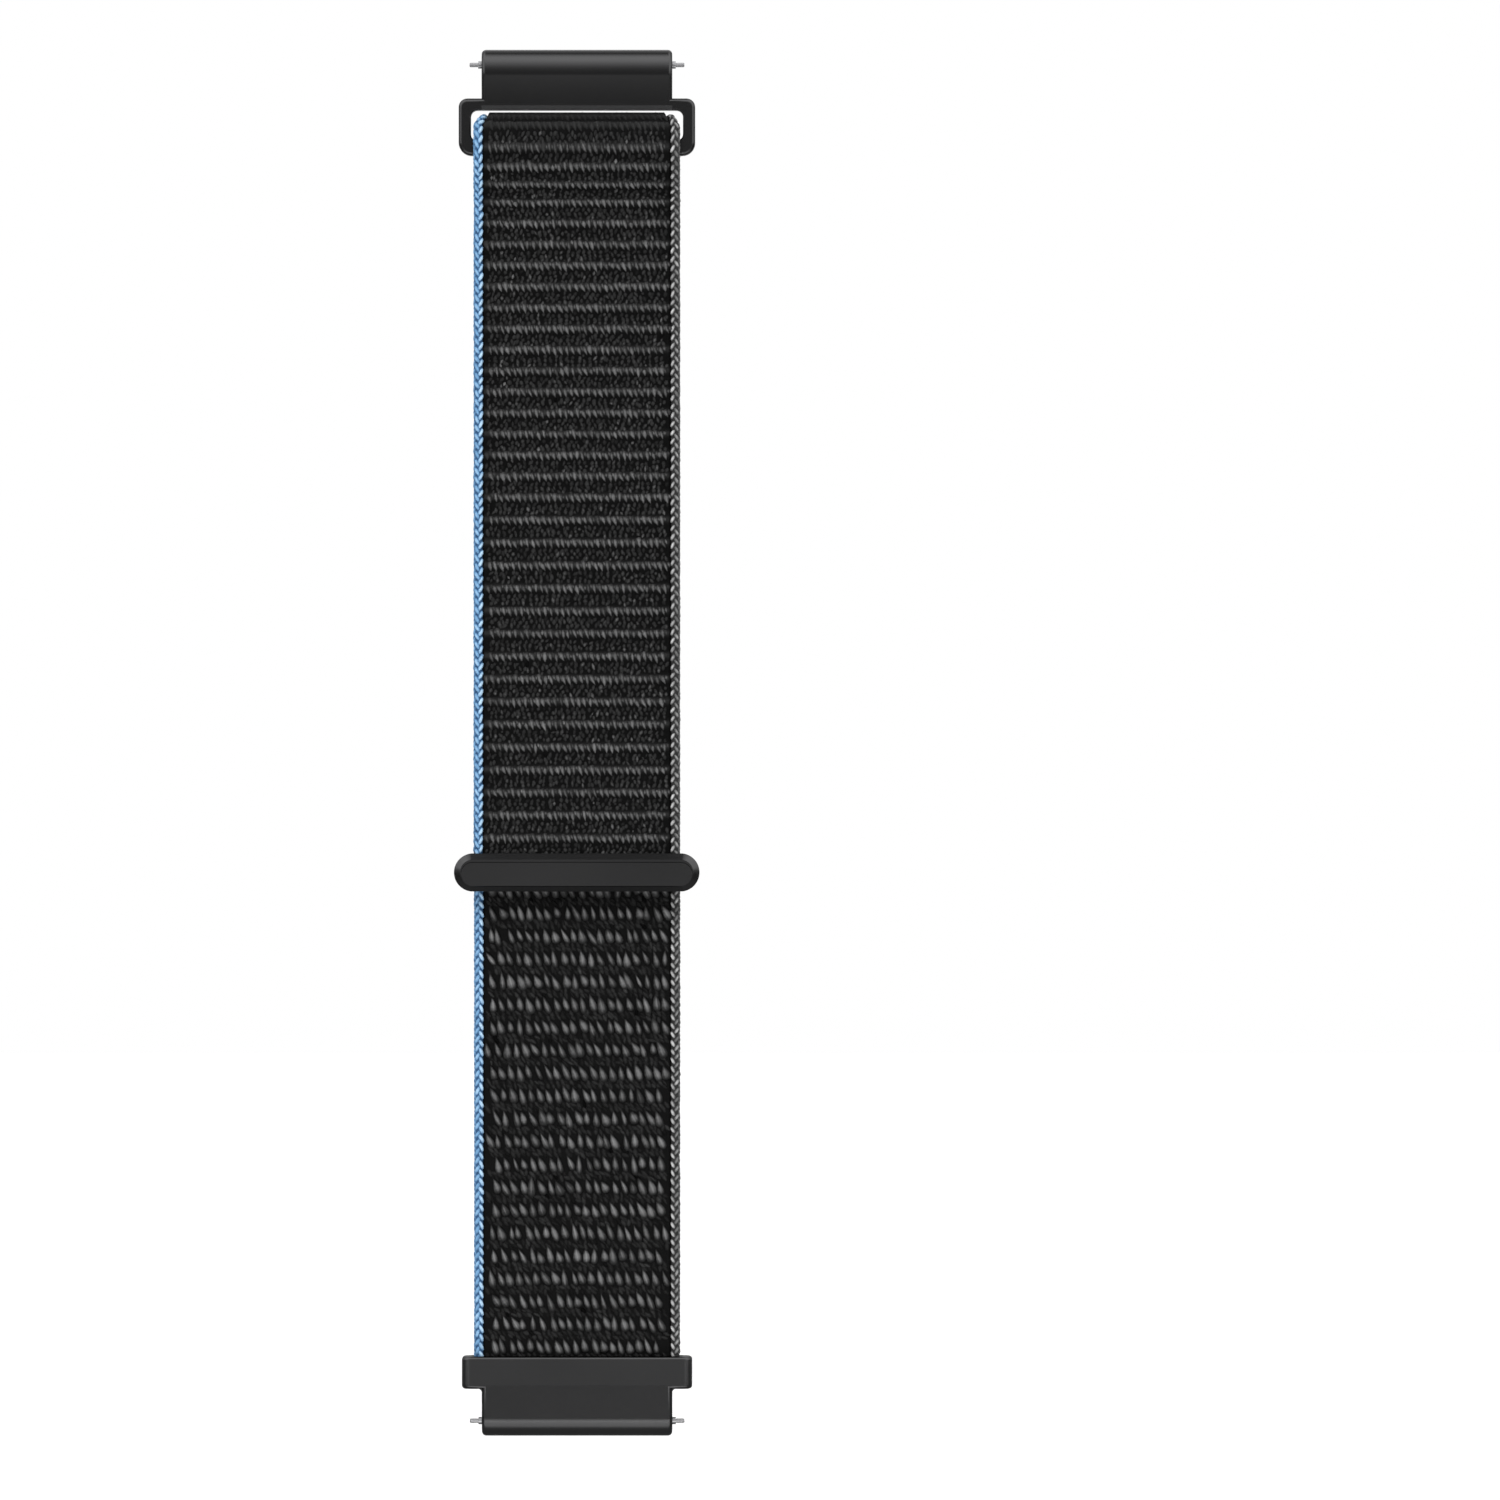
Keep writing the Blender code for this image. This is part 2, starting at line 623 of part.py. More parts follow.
def release_knob(name, y, z, finish, body):
    """The knob behind the barrel and its peg, which goes through both slots into the pin's head."""
    base = y + BARREL_R + LAYER_GAP / 2
    x = knob_x()
    outline = rounded_outline(
        x - KNOB_WIDTH / 2, x + KNOB_WIDTH / 2, z - KNOB_HEIGHT / 2, z + KNOB_HEIGHT / 2,
        KNOB_CORNER_R, KNOB_CORNER_R,
    )
    shrink = Vector((1 - 2 * KNOB_ROUND / KNOB_WIDTH, 1 - 2 * KNOB_ROUND / KNOB_HEIGHT))
    drawn_in = [(x + (px - x) * shrink.x, z + (pz - z) * shrink.y) for px, pz in outline]
    levels = [
        (base, outline), (base + KNOB_THICKNESS - KNOB_ROUND, outline),
        (base + KNOB_THICKNESS, drawn_in),
    ]
    rings = [[(px, level, pz) for px, pz in points] for level, points in levels]
    knob = node(name, loft(bmesh.new(), rings), finish, body)
    peg = cylinder_y(PEG_R, x, z, y - PEG_R, base + KNOB_THICKNESS / 2)
    join(knob, helper(f"{name}_peg", peg, body))
    return knob


def bar_spring(name, y, z, finish, body):
    """A real helix of round wire between the tube's stop and the pin's head."""
    curve = bpy.data.curves.new(name, "CURVE")
    curve.dimensions = "3D"
    curve.bevel_depth = SPRING_WIRE_R
    curve.bevel_resolution = 1
    curve.use_fill_caps = True
    count = SPRING_TURNS * POINTS_PER_TURN
    line = curve.splines.new("POLY")
    line.points.add(count)
    rise = SPRING_LENGTH - 2 * SPRING_WIRE_R
    for i in range(count + 1):
        a = math.tau * i / POINTS_PER_TURN
        x = spring_stop_x() + SPRING_WIRE_R + rise * i / count
        place = Vector((x, y + SPRING_COIL_R * math.cos(a), z + SPRING_COIL_R * math.sin(a)))
        line.points[i].co = (*(place - Vector(body["place"])), 1)
    obj = bpy.data.objects.new(name, curve)
    bpy.context.collection.objects.link(obj)
    obj.parent = body
    curve.materials.append(finish)
    least = rise / SPRING_TURNS - 2 * SPRING_WIRE_R
    print(f"{name}: least gap between turns {least / MM:.2f} mm")
    return obj


def spring_bar(prefix, y, z, finish, body, pin_body):
    bar_tube(f"{prefix}_bar_tube", y, z, finish["steel"], body)
    bar_spring(f"{prefix}_bar_spring", y, z, finish["steel"], body)
    bar_pin(f"{prefix}_bar_pin", y, z, finish["steel"], pin_body)
    release_knob(f"{prefix}_release_knob", y, z, finish["steel"], pin_body)


# End bar: a cover and a clamp that close on the flap's tongue


def bar_parting_y():
    return -LAYER_Y + BAND_THICKNESS / 2 - CORE_SETBACK + RUNNING_GAP


def bar_ring(y, inset, drop=0.0):
    outline = pill_outline(END_BAR_WIDTH, END_BAR_HEIGHT, inset, END_BAR_Z - drop, 2 * CORNER_STEPS)
    return [(x, y, z) for x, z in outline]


def bar_peg_places():
    outer = (END_BAR_WIDTH / 2 + FIELD_WIDTH / 2) / 2
    return (-outer, outer)


def end_bar_cover(finish, body):
    back = bar_parting_y() - RUNNING_GAP / 2
    front = -LAYER_Y - BAND_THICKNESS / 2 - RUNNING_GAP - COVER_THICKNESS
    rings = [bar_ring(y, inset) for y, inset in [(back, 0), *rounded_levels(front, 1, BAR_EDGE_BEVEL)]]
    rings.append(bar_ring(front, BAR_PANEL_MARGIN, BAR_PANEL_DROP))
    rings.append(bar_ring(front - BAR_PANEL_RISE, BAR_PANEL_MARGIN + BAR_PANEL_RISE, BAR_PANEL_DROP))
    cover = node("end_bar_cover", loft(bmesh.new(), rings), finish, body)
    half = FIELD_WIDTH / 2 + LAYER_GAP / 2
    floor = END_BAR_Z - END_BAR_HEIGHT / 2 + BAR_FLOOR
    ceiling = END_BAR_Z + END_BAR_HEIGHT / 2 + OVERRUN
    pocket = prism_y(
        [(-half, floor), (half, floor), (half, ceiling), (-half, ceiling)],
        front + COVER_THICKNESS, back + OVERRUN,
    )
    cut(cover, helper("end_bar_cover_pocket", pocket, body))
    for side, x in zip(("left", "right"), bar_peg_places()):
        socket = cylinder_y(BAR_PEG_R + RUNNING_GAP, x, END_BAR_Z, back - BAR_PEG_DEPTH - RUNNING_GAP,
                            back + OVERRUN)
        cut(cover, helper(f"end_bar_cover_socket_{side}", socket, body))
    return cover


def end_bar_clamp(finish, body):
    front = bar_parting_y() + RUNNING_GAP / 2
    back = front + CLAMP_THICKNESS
    rim = back - BAR_PANEL_RISE
    rings = [bar_ring(y, inset) for y, inset in [(front, 0), *rounded_levels(rim, -1, CLAMP_EDGE_ROUND)]]
    rings.append(bar_ring(rim, BAR_PANEL_MARGIN, BAR_PANEL_DROP))
    rings.append(bar_ring(back, BAR_PANEL_MARGIN + BAR_PANEL_RISE, BAR_PANEL_DROP))
    clamp = node("end_bar_clamp", loft(bmesh.new(), rings), finish, body)
    for side, x in zip(("left", "right"), bar_peg_places()):
        peg = cylinder_y(BAR_PEG_R, x, END_BAR_Z, front - BAR_PEG_DEPTH, front + CLAMP_THICKNESS / 2)
        join(clamp, helper(f"end_bar_clamp_peg_{side}", peg, body))
    return clamp


# Assembly


def finishes():
    band = [
        material("black nylon", (0.012, 0.012, 0.012), 0.85),
        material("blue nylon", (0.12, 0.32, 0.72), 0.7),
        material("grey nylon", (0.16, 0.16, 0.16), 0.75),
    ]
    return {
        "band": band,
        "tape": material("grey hook tape", (0.065, 0.065, 0.065), 0.8),
        "hooks": material("black hooks", (0.012, 0.012, 0.012), 0.55),
        "metal": material("black coated metal", (0.022, 0.022, 0.023), 0.42, 0.6),
        "steel": material("spring steel", (0.42, 0.42, 0.44), 0.35, 1.0),
    }


def bodies(lines, on_flap):
    """Nested empties, one on each joint's axis."""
    root = axis_empty("root_axis", 0, 0)
    straps = [axis_empty("strap_1_axis", 0, RAIL_Z, root)]
    bend_y = LAYER_Y + BAND_THICKNESS / 2 + BEND_AXIS_STAND_OFF
    for i, z in enumerate(lines):
        straps.append(axis_empty(f"strap_{i + 2}_axis", bend_y, z, straps[-1]))
    peel_y = -LAYER_Y - BAND_THICKNESS / 2 - BEND_AXIS_STAND_OFF
    flaps = [axis_empty("flap_1_axis", peel_y, FLAP_ROOT_Z, straps[0])]
    for i, z in enumerate(lines[:on_flap]):
        flaps.append(axis_empty(f"flap_{i + 2}_axis", bend_y, z, flaps[-1]))
    return root, straps, flaps


def back_layer(lines, straps, finish):
    gap = SEGMENT_GAP / 2
    loop_piece(finish["band"], straps[0], lines[0] + gap)
    ends = lines[1:] + [CHANNEL_Z + gap]
    for i, (top, bottom) in enumerate(zip(lines, ends)):
        last = straight_piece(f"band_{i + 2}", top - gap, bottom + gap, 1, finish["band"], straps[i + 1])
    sew_bead(last, straps[-1])


def flap(lines, on_flap, flaps, finish):
    gap = SEGMENT_GAP / 2
    tongue_end = END_BAR_Z - END_BAR_HEIGHT / 2 + BAR_FLOOR + LAYER_GAP
    tops = [FLAP_ROOT_Z] + lines[:on_flap]
    ends = lines[:on_flap] + [tongue_end - gap]
    tape_count = 0
    for i, (top, bottom) in enumerate(zip(tops, ends)):
        flap_piece(f"flap_band_{i + 1}", top - gap, bottom + gap, finish["band"], flaps[i])
        if bottom + gap < TAPE_TOP_Z:
            tape_count += 1
            hook_tape(tape_count, top - gap, bottom + gap, finish["tape"], flaps[i])
    for k in range(HOOK_COUNT):
        z = END_BAR_Z + FIRST_HOOK + k * HOOK_PITCH
        carrier = sum(line > z for line in lines[:on_flap])
        hook_patch(HOOK_COUNT - k, z, finish["hooks"], flaps[carrier])
    end_bar_cover(finish["metal"], flaps[-1])
    end_bar_clamp(finish["metal"], flaps[-1])


def build():
    clear_scene()
    finish = finishes()
    lines, on_flap = bend_lines()
    root, straps, flaps = bodies(lines, on_flap)
    ring_adapter(finish["metal"], root)
    ring_pin = axis_empty("ring_pin_axis", 0, 0, root)
    spring_bar("ring", 0, 0, finish, root, ring_pin)
    back_layer(lines, straps, finish)
    flap(lines, on_flap, flaps, finish)
    fixed_adapter(finish["metal"], straps[-1])
    retaining_rod(finish["steel"], straps[-1])
    fixed_pin = axis_empty("fixed_pin_axis", LAYER_Y, LOWER_BAR_Z, straps[-1])
    spring_bar("fixed", LAYER_Y, LOWER_BAR_Z, finish, straps[-1], fixed_pin)


build()
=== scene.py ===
"""Looks of the nylon watch strap: pile weave, braided edges, hook tape, coated metal and spring steel."""

import math

import bmesh
import bpy
import numpy as np
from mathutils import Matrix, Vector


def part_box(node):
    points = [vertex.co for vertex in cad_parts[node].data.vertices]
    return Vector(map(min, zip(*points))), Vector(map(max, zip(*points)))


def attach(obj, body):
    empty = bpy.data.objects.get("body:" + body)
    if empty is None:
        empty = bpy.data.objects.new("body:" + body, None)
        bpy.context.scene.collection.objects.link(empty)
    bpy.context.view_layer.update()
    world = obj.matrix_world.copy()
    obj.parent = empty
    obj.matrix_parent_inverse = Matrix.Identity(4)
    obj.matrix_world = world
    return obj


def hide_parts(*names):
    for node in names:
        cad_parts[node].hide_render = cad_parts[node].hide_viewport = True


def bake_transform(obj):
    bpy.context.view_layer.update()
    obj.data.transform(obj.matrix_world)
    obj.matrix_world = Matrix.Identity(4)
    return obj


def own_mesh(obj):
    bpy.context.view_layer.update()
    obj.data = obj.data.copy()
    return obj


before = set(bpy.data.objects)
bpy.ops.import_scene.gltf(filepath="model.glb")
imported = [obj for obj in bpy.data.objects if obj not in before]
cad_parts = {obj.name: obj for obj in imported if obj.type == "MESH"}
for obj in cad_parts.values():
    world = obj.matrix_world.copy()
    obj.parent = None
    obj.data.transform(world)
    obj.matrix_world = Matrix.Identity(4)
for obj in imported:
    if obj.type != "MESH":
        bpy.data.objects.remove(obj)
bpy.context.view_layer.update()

MM = 0.001
rng = np.random.default_rng(7)

# Places and sizes of the solids that the pieces go on
LOOP_TOP_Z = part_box("band_loop")[1].z
RING_LOW, RING_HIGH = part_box("ring_adapter")
COVER_LOW, COVER_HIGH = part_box("end_bar_cover")
CLAMP_LOW, CLAMP_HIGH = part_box("end_bar_clamp")
FIXED_LOW, FIXED_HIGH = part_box("fixed_adapter")
LAST_LOW_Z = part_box("band_8")[0].z
TAPE_TOP_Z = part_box("hook_tape_1")[1].z
BACK_LOW, BACK_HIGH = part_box("band_4")

# Band
BAND_WIDTH = BACK_HIGH.x - BACK_LOW.x
BAND_THICKNESS = BACK_HIGH.y - BACK_LOW.y
LAYER_Y = (BACK_HIGH.y + BACK_LOW.y) / 2
EDGE_WIDTH = 1.2 * MM
EDGE_THICKNESS = 1.75 * MM
GROOVE = 0.14 * MM
FIELD_HALF = BAND_WIDTH / 2 - EDGE_WIDTH
EDGE_CENTRE = FIELD_HALF + EDGE_WIDTH / 2
LOOP_R = 3.05 * MM
LOOP_LEG = 6.3 * MM
LOOP_DRAW_IN = 0.5 * MM
LOOP_DRAW_IN_TURN = math.radians(48)
RAIL_Z = LOOP_TOP_Z - LOOP_R - BAND_THICKNESS / 2
CORE_FACE = -0.15 * MM
BAND_END_Z = FIXED_HIGH.z - 1.0 * MM

# Bend lines of the strap, and the cuts halfway between them
CURL_PITCH = 18.4 * MM
FIRST_BEND_Z = -26.94 * MM
PEEL_Z = -16.99 * MM
PEEL_END_Z = -21.97 * MM
STRAP_CUTS = [FIRST_BEND_Z + CURL_PITCH / 2 - CURL_PITCH * k for k in range(8)]
BAR_MOUTH_Z = COVER_HIGH.z
TUCK = 0.6 * MM

# Bends of the flap's lengths with tape: the bodies above and below, y, and where the bend starts and ends
TAPED_BENDS = [("flap_2", "flap_3", -LAYER_Y, STRAP_CUTS[1], STRAP_CUTS[2]),
               ("flap_3", "flap_4", -LAYER_Y, STRAP_CUTS[2], STRAP_CUTS[3]),
               ("flap_4", "flap_5", -LAYER_Y, STRAP_CUTS[3], BAR_MOUTH_Z)]

# Rows of the weave. The pile's rows are laid out from one of them, and the ribs' from the fold's top
PILE_PITCH = 2.638 * MM
PILE_ROW_Z = -148.07 * MM
RIB_PITCH = 2.62 * MM
UPPER_RIB_COUNT = 15
FOLD_RIBS = [0.0, 1.15 * MM, 2.4 * MM, 4.64 * MM, 6.62 * MM, 8.8 * MM]
FOLD_TONES = [0.25, 0.4, 0.58, 0.9]
FOLD_BARE = 2.0 * MM
RIB_CHANGE_Z = -49.78 * MM
BRAID_PITCH = 1.0 * MM
RIB_GROUND = 0.8 * MM
PILE_GROUND = 0.66 * MM
TOP_LEVEL = BAND_THICKNESS / 2

# Yarns of one row: how many, how far apart, and how unevenly placed
RIB_SPACING = 0.68 * MM
PILE_ROW = (23, 1.05 * MM, 0.09 * MM)
VALLEY_ROW = (35, 0.62 * MM, 0.1 * MM)
RIB_ROW = (32, RIB_SPACING, 0.04 * MM)
DARK_ROW = (34, 0.64 * MM, 0.1 * MM)

# Dark strands: how deep they sit in the ground and how unevenly along the band, in millimetres. Then length,
# width and height in millimetres and lean in degrees, each with its spread
VALLEY_STRAND = (0.06, 0.07, (1.05, 0.12), (0.52, 0.07), (0.18, 0.03), (36, 16))
SHORT_STRAND = (0.05, 0.05, (0.66, 0.08), (0.56, 0.05), (0.24, 0.02), (-20, 8))
DARK_STRAND = (0.08, 0.09, (0.72, 0.12), (0.48, 0.07), (0.2, 0.03), (0, 18))
SHORT_TONE = (0.65, 0.07)

# Rows below one pile row as (drop in millimetres, tone), and below one rib as (drop, lean in degrees, tone)
VALLEY_ROWS = ((1.1, 0.24), (1.55, 0.26))
VALLEY_TONE_SPREAD = 0.1
DARK_ROWS = ((1.12, 14, 0.35), (1.55, -6, 0.43), (1.98, 4, 0.46))
DARK_TONE_SPREAD = 0.11

# Pile loops and rib strands, in millimetres and degrees, each value with its spread
LOOP_LENGTH = (2.05, 0.2)
WIDE_LOOP = (1.06, 0.08)
NARROW_LOOP = (0.82, 0.1)
LOOP_RISE = (0.02, 0.03)
LOOP_LEAN = (19, 7)
LOOP_TONE = (0.88, 0.07)
RIB_LENGTH = (1.22, 0.12)
RIB_WIDTH = (0.6, 0.06)
RIB_RISE = (0.03, 0.03)
RIB_LEAN = (-17, 6)
RIB_TONE = (0.81, 0.06)
RIB_DROP = 0.3 * MM
BARE_RISE = 0.1 * MM

# Shares of the pile loops that are wide or short, and of the dark strands that catch the light
WIDE_SHARE = 0.3
SHORT_SHARE = 0.12
SHORTENED = 0.85
GLINT_SHARE = 0.1
GLINT = 0.16

# Ground: its steps along the band, the swell under a rib, the crest over the fold and the sides
GROUND_STEP = 0.22 * MM
SWELL_HALF = 0.32 * MM
SWELL_RISE = 0.16 * MM
CREST_HALF = 1.2 * MM
CREST_TONE = 0.12
SIDE_TUCK = 0.2 * MM
SIDE_HALF = 0.35 * MM

# Braided edges: the core, and lobes with their spreads in millimetres
CORE_STEP = 0.5 * MM
CORE_INSET = 0.1 * MM
LOBE_INSET = 0.12 * MM
LOBE_SINK = 0.06 * MM
LOBE_LENGTH = 1.18
LOBE_WIDTH = 0.5
LOBE_HEIGHT = (0.24, 0.02)


# Modelling by hand: selection, edit mode and finishing


def clear_selection():
    for obj in list(bpy.context.selected_objects):
        obj.select_set(False)


def work_on(obj):
    clear_selection()
    obj.select_set(True)
    bpy.context.view_layer.objects.active = obj
    return obj


def edit(obj, kind="VERT"):
    work_on(obj)
    bpy.ops.object.mode_set(mode="EDIT")
    bpy.ops.mesh.select_mode(type=kind)


def leave_edit():
    bpy.ops.object.mode_set(mode="OBJECT")


def pick(obj, kind, test):
    """Selects the vertices, edges or faces for which test is true. The object is in edit mode."""
    bpy.ops.mesh.select_mode(type=kind)
    bpy.ops.mesh.select_all(action="DESELECT")
    bm = bmesh.from_edit_mesh(obj.data)
    for item in {"VERT": bm.verts, "EDGE": bm.edges, "FACE": bm.faces}[kind]:
        item.select_set(bool(test(item)))
    bm.select_flush_mode()
    bmesh.update_edit_mesh(obj.data)


def settle(obj):
    """Puts the object's place, turn and size into its mesh."""
    work_on(obj)
    bpy.ops.object.transform_apply(location=True, rotation=True, scale=True)
    return obj


def added(name):
    obj = bpy.context.active_object
    obj.name = name
    return obj


def apply_modifier(obj, step):
    work_on(obj)
    bpy.ops.object.modifier_apply(modifier=step.name)


def carve(obj, other, operation="DIFFERENCE"):
    """Cuts the other shape from obj, or joins it on."""
    step = obj.modifiers.new("carve", "BOOLEAN")
    step.operation = operation
    step.solver = "EXACT"
    step.object = other
    apply_modifier(obj, step)
    bpy.data.objects.remove(other, do_unlink=True)
    return obj


def put(name, data):
    """A new object in the scene, at the origin."""
    obj = bpy.data.objects.new(name, data)
    bpy.context.scene.collection.objects.link(obj)
    return obj


def paint(obj, material):
    """Gives an object one material in place of any that it has."""
    obj.data.materials.clear()
    obj.data.materials.append(material)


def select_all():
    bpy.ops.mesh.select_all(action="SELECT")


def bevel(width, segments, kind="EDGES", clamp=False):
    """Rounds what is selected."""
    bpy.ops.mesh.bevel(offset=width, segments=segments, profile=0.5, affect=kind, clamp_overlap=clamp)


def extent(edge, axis):
    """How far an edge runs along an axis."""
    return abs(edge.verts[0].co[axis] - edge.verts[1].co[axis])


def face_outwards():
    select_all()
    bpy.ops.mesh.normals_make_consistent(inside=False)


def smooth_metal(obj, angle=32):
    """Smooth curves beside flat faces that stay flat."""
    work_on(obj)
    bpy.ops.object.shade_smooth_by_angle(angle=math.radians(angle))
    step = obj.modifiers.new("flat_faces", "WEIGHTED_NORMAL")
    step.keep_sharp = True
    step.weight = 80
    apply_modifier(obj, step)
    return obj


# Materials


def feed(tree, node, inputs):
    """Sets a node's inputs to values, or links them to other nodes' outputs."""
    for label, value in inputs.items():
        if isinstance(value, bpy.types.NodeSocket):
            tree.links.new(value, node.inputs[label])
        else:
            node.inputs[label].default_value = value


def node_in(tree, kind, inputs=None, **settings):
    node = tree.nodes.new(kind)
    for key, value in settings.items():
        setattr(node, key, value)
    feed(tree, node, inputs or {})
    return node


def math_in(tree, operation, first, second, clamp=False):
    node = node_in(tree, "ShaderNodeMath", {0: first, 1: second}, operation=operation, use_clamp=clamp)
    return node.outputs[0]


def mix_in(tree, factor, first, second):
    """A colour between first and second, which are outputs or colours without alpha."""
    first, second = ((*colour, 1.0) if isinstance(colour, tuple) else colour for colour in (first, second))
    return node_in(tree, "ShaderNodeMix", {0: factor, 6: first, 7: second}, data_type="RGBA").outputs[2]


def noise_in(tree, vector, scale, detail, roughness=0.5):
    inputs = {"Vector": vector, "Scale": scale, "Detail": detail, "Roughness": roughness}
    return node_in(tree, "ShaderNodeTexNoise", inputs).outputs["Fac"]


def object_place_in(tree):
    return node_in(tree, "ShaderNodeTexCoord").outputs["Object"]


def new_group(name, inputs, outputs):
    group = bpy.data.node_groups.new(name, "ShaderNodeTree")
    for label, kind, value in inputs:
        socket = group.interface.new_socket(label, in_out="INPUT", socket_type=kind)
        if value is not None:
            socket.default_value = value
    for label in outputs:
        group.interface.new_socket(label, in_out="OUTPUT", socket_type="NodeSocketFloat")
    return group, group.nodes.new("NodeGroupInput").outputs, group.nodes.new("NodeGroupOutput")


def make_fibre_group():
    """Fine filaments. The yarn's vector holds across and along in millimetres, and a number per yarn."""
    inputs = [("Yarn", "NodeSocketVector", None), ("Across", "NodeSocketFloat", 9.0),
              ("Along", "NodeSocketFloat", 0.8)]
    group, given, end = new_group("fibre_filaments", inputs, ["Filament", "Fuzz"])
    stretch = node_in(group, "ShaderNodeCombineXYZ", {"X": given["Across"], "Y": given["Along"], "Z": 3.0})
    scaled = node_in(group, "ShaderNodeVectorMath", {0: given["Yarn"], 1: stretch.outputs[0]},
                     operation="MULTIPLY")
    feed(group, end, {"Filament": noise_in(group, scaled.outputs[0], 1.0, 2.0, 0.6),
                      "Fuzz": noise_in(group, given["Yarn"], 6.0, 3.0, 0.7)})
    return group


def make_grain_group():
    """The fine grain of a coating or a brushed surface, on the object's own places."""
    inputs = [("Grain Scale", "NodeSocketFloat", 900.0), ("Cloud Scale", "NodeSocketFloat", 60.0)]
    group, given, end = new_group("surface_grain", inputs, ["Grain", "Cloud"])
    place = object_place_in(group)
    feed(group, end, {"Grain": noise_in(group, place, given["Grain Scale"], 3.0),
                      "Cloud": noise_in(group, place, given["Cloud Scale"], 2.0)})
    return group


def new_material(name, roughness, metallic=0.0, specular=0.5):
    material = bpy.data.materials.new(name)
    material.use_nodes = True
    tree = material.node_tree
    shader = tree.nodes["Principled BSDF"]
    feed(tree, shader, {"Roughness": roughness, "Metallic": metallic, "Specular IOR Level": specular})
    if metallic:
        feed(tree, shader, {"Specular Tint": (0.55, 0.55, 0.55, 1)})
    return material, tree, shader


def bump_in(tree, height, distance, strength):
    inputs = {"Height": height, "Distance": distance, "Strength": strength}
    return node_in(tree, "ShaderNodeBump", inputs).outputs["Normal"]


def yarn_material(name, deep, mid, light, filament=0.35, roughness=0.7, specular=0.08):
    """Nylon yarn. Its tone runs from deep in the gaps, over mid, to light on the crowns: the deep colour is
    painted shade in the gaps, and the light one a painted sheen on the crowns.
    """
    material, tree, shader = new_material(name, roughness, specular=specular)
    yarn = node_in(tree, "ShaderNodeAttribute", attribute_name="yarn").outputs["Vector"]
    tone = node_in(tree, "ShaderNodeAttribute", attribute_name="tone").outputs["Fac"]
    fibres = node_in(tree, "ShaderNodeGroup", node_tree=FIBRES)
    feed(tree, fibres, {"Yarn": yarn})
    threads, fuzz = fibres.outputs["Filament"], fibres.outputs["Fuzz"]
    spread = math_in(tree, "MULTIPLY", math_in(tree, "SUBTRACT", threads, 0.5), filament * 2)
    fuzz = math_in(tree, "MULTIPLY", math_in(tree, "SUBTRACT", fuzz, 0.5), filament)
    shift = math_in(tree, "ADD", math_in(tree, "ADD", spread, fuzz), 1.0)
    level = math_in(tree, "MULTIPLY", tone, shift, clamp=True)
    lower = math_in(tree, "MULTIPLY", level, 2.0, clamp=True)
    upper = math_in(tree, "SUBTRACT", math_in(tree, "MULTIPLY", level, 2.0), 1.0, clamp=True)
    feed(tree, shader, {"Base Color": mix_in(tree, upper, mix_in(tree, lower, deep, mid), light),
                        "Normal": bump_in(tree, threads, 0.03 * MM, 0.5)})
    return material


def grain_in(tree, grain_scale, cloud_scale):
    grain = node_in(tree, "ShaderNodeGroup", node_tree=GRAIN)
    feed(tree, grain, {"Grain Scale": grain_scale, "Cloud Scale": cloud_scale})
    return grain.outputs["Grain"], grain.outputs["Cloud"]


def metal_material(name, scales, dark, light, roughness, rough_spread, relief, strength):
    """Metal whose colour goes from dark to light in clouds, with a grain in its relief and roughness."""
    material, tree, shader = new_material(name, roughness, metallic=1.0)
    grain, cloud = grain_in(tree, *scales)
    rough = math_in(tree, "ADD", math_in(tree, "MULTIPLY", grain, rough_spread), roughness)
    feed(tree, shader, {"Base Color": mix_in(tree, cloud, dark, light), "Roughness": rough,
                        "Normal": bump_in(tree, grain, relief, strength)})
    return material


def tape_cloth():
    """Grey backing: mottled, with rows of small dark pricks."""
    material, tree, shader = new_material("grey_tape_cloth", 0.9, specular=0.04)
    grain, cloud = grain_in(tree, 4200.0, 700.0)
    cells = node_in(tree, "ShaderNodeTexVoronoi",
                    {"Vector": object_place_in(tree), "Scale": 1500.0, "Randomness": 0.35}, feature="F1")
    prick = math_in(tree, "LESS_THAN", cells.outputs["Distance"], 0.3)
    base = mix_in(tree, cloud, (0.022, 0.022, 0.0225), (0.07, 0.07, 0.0705))
    fleck = math_in(tree, "MULTIPLY", math_in(tree, "SUBTRACT", grain, 0.45), 4.0, clamp=True)
    speckled = mix_in(tree, fleck, base, (0.105,) * 3)
    colour = mix_in(tree, math_in(tree, "MULTIPLY", prick, 0.75), speckled, (0.008,) * 3)
    feed(tree, shader, {"Base Color": colour, "Normal": bump_in(tree, grain, 0.03 * MM, 0.6)})
    return material


FIBRES = make_fibre_group()
GRAIN = make_grain_group()
# The light colours of the yarns and of the hook plastic are a painted sheen on their crowns, and their deep
# colours painted shade in the gaps.
BLACK_YARN = yarn_material("black_nylon_pile", (0.0005,) * 3, (0.034,) * 3, (0.21, 0.21, 0.211),
                           specular=0.02)
BLUE_YARN = yarn_material("blue_nylon_braid", (0.008, 0.04, 0.12), (0.175, 0.36, 0.6), (0.56, 0.79, 1.0),
                          filament=0.3)
GREY_YARN = yarn_material("grey_nylon_braid", (0.001,) * 3, (0.155,) * 3, (0.74,) * 3, filament=0.3,
                          specular=0.04)
COATED_METAL = metal_material("black_coated_metal", (7000.0, 90.0), (0.017, 0.017, 0.0173),
                              (0.021, 0.021, 0.0213), 0.2, 0.1, 0.004 * MM, 0.5)
SPRING_STEEL = metal_material("spring_steel", (9000.0, 500.0), (0.08, 0.08, 0.083), (0.15, 0.15, 0.153),
                              0.22, 0.2, 0.003 * MM, 0.6)
TAPE_CLOTH = tape_cloth()
HOOK_PLASTIC = yarn_material("black_hook_plastic", (0.002,) * 3, (0.012,) * 3, (0.13,) * 3,
                             filament=0.3, roughness=0.6, specular=0.025)


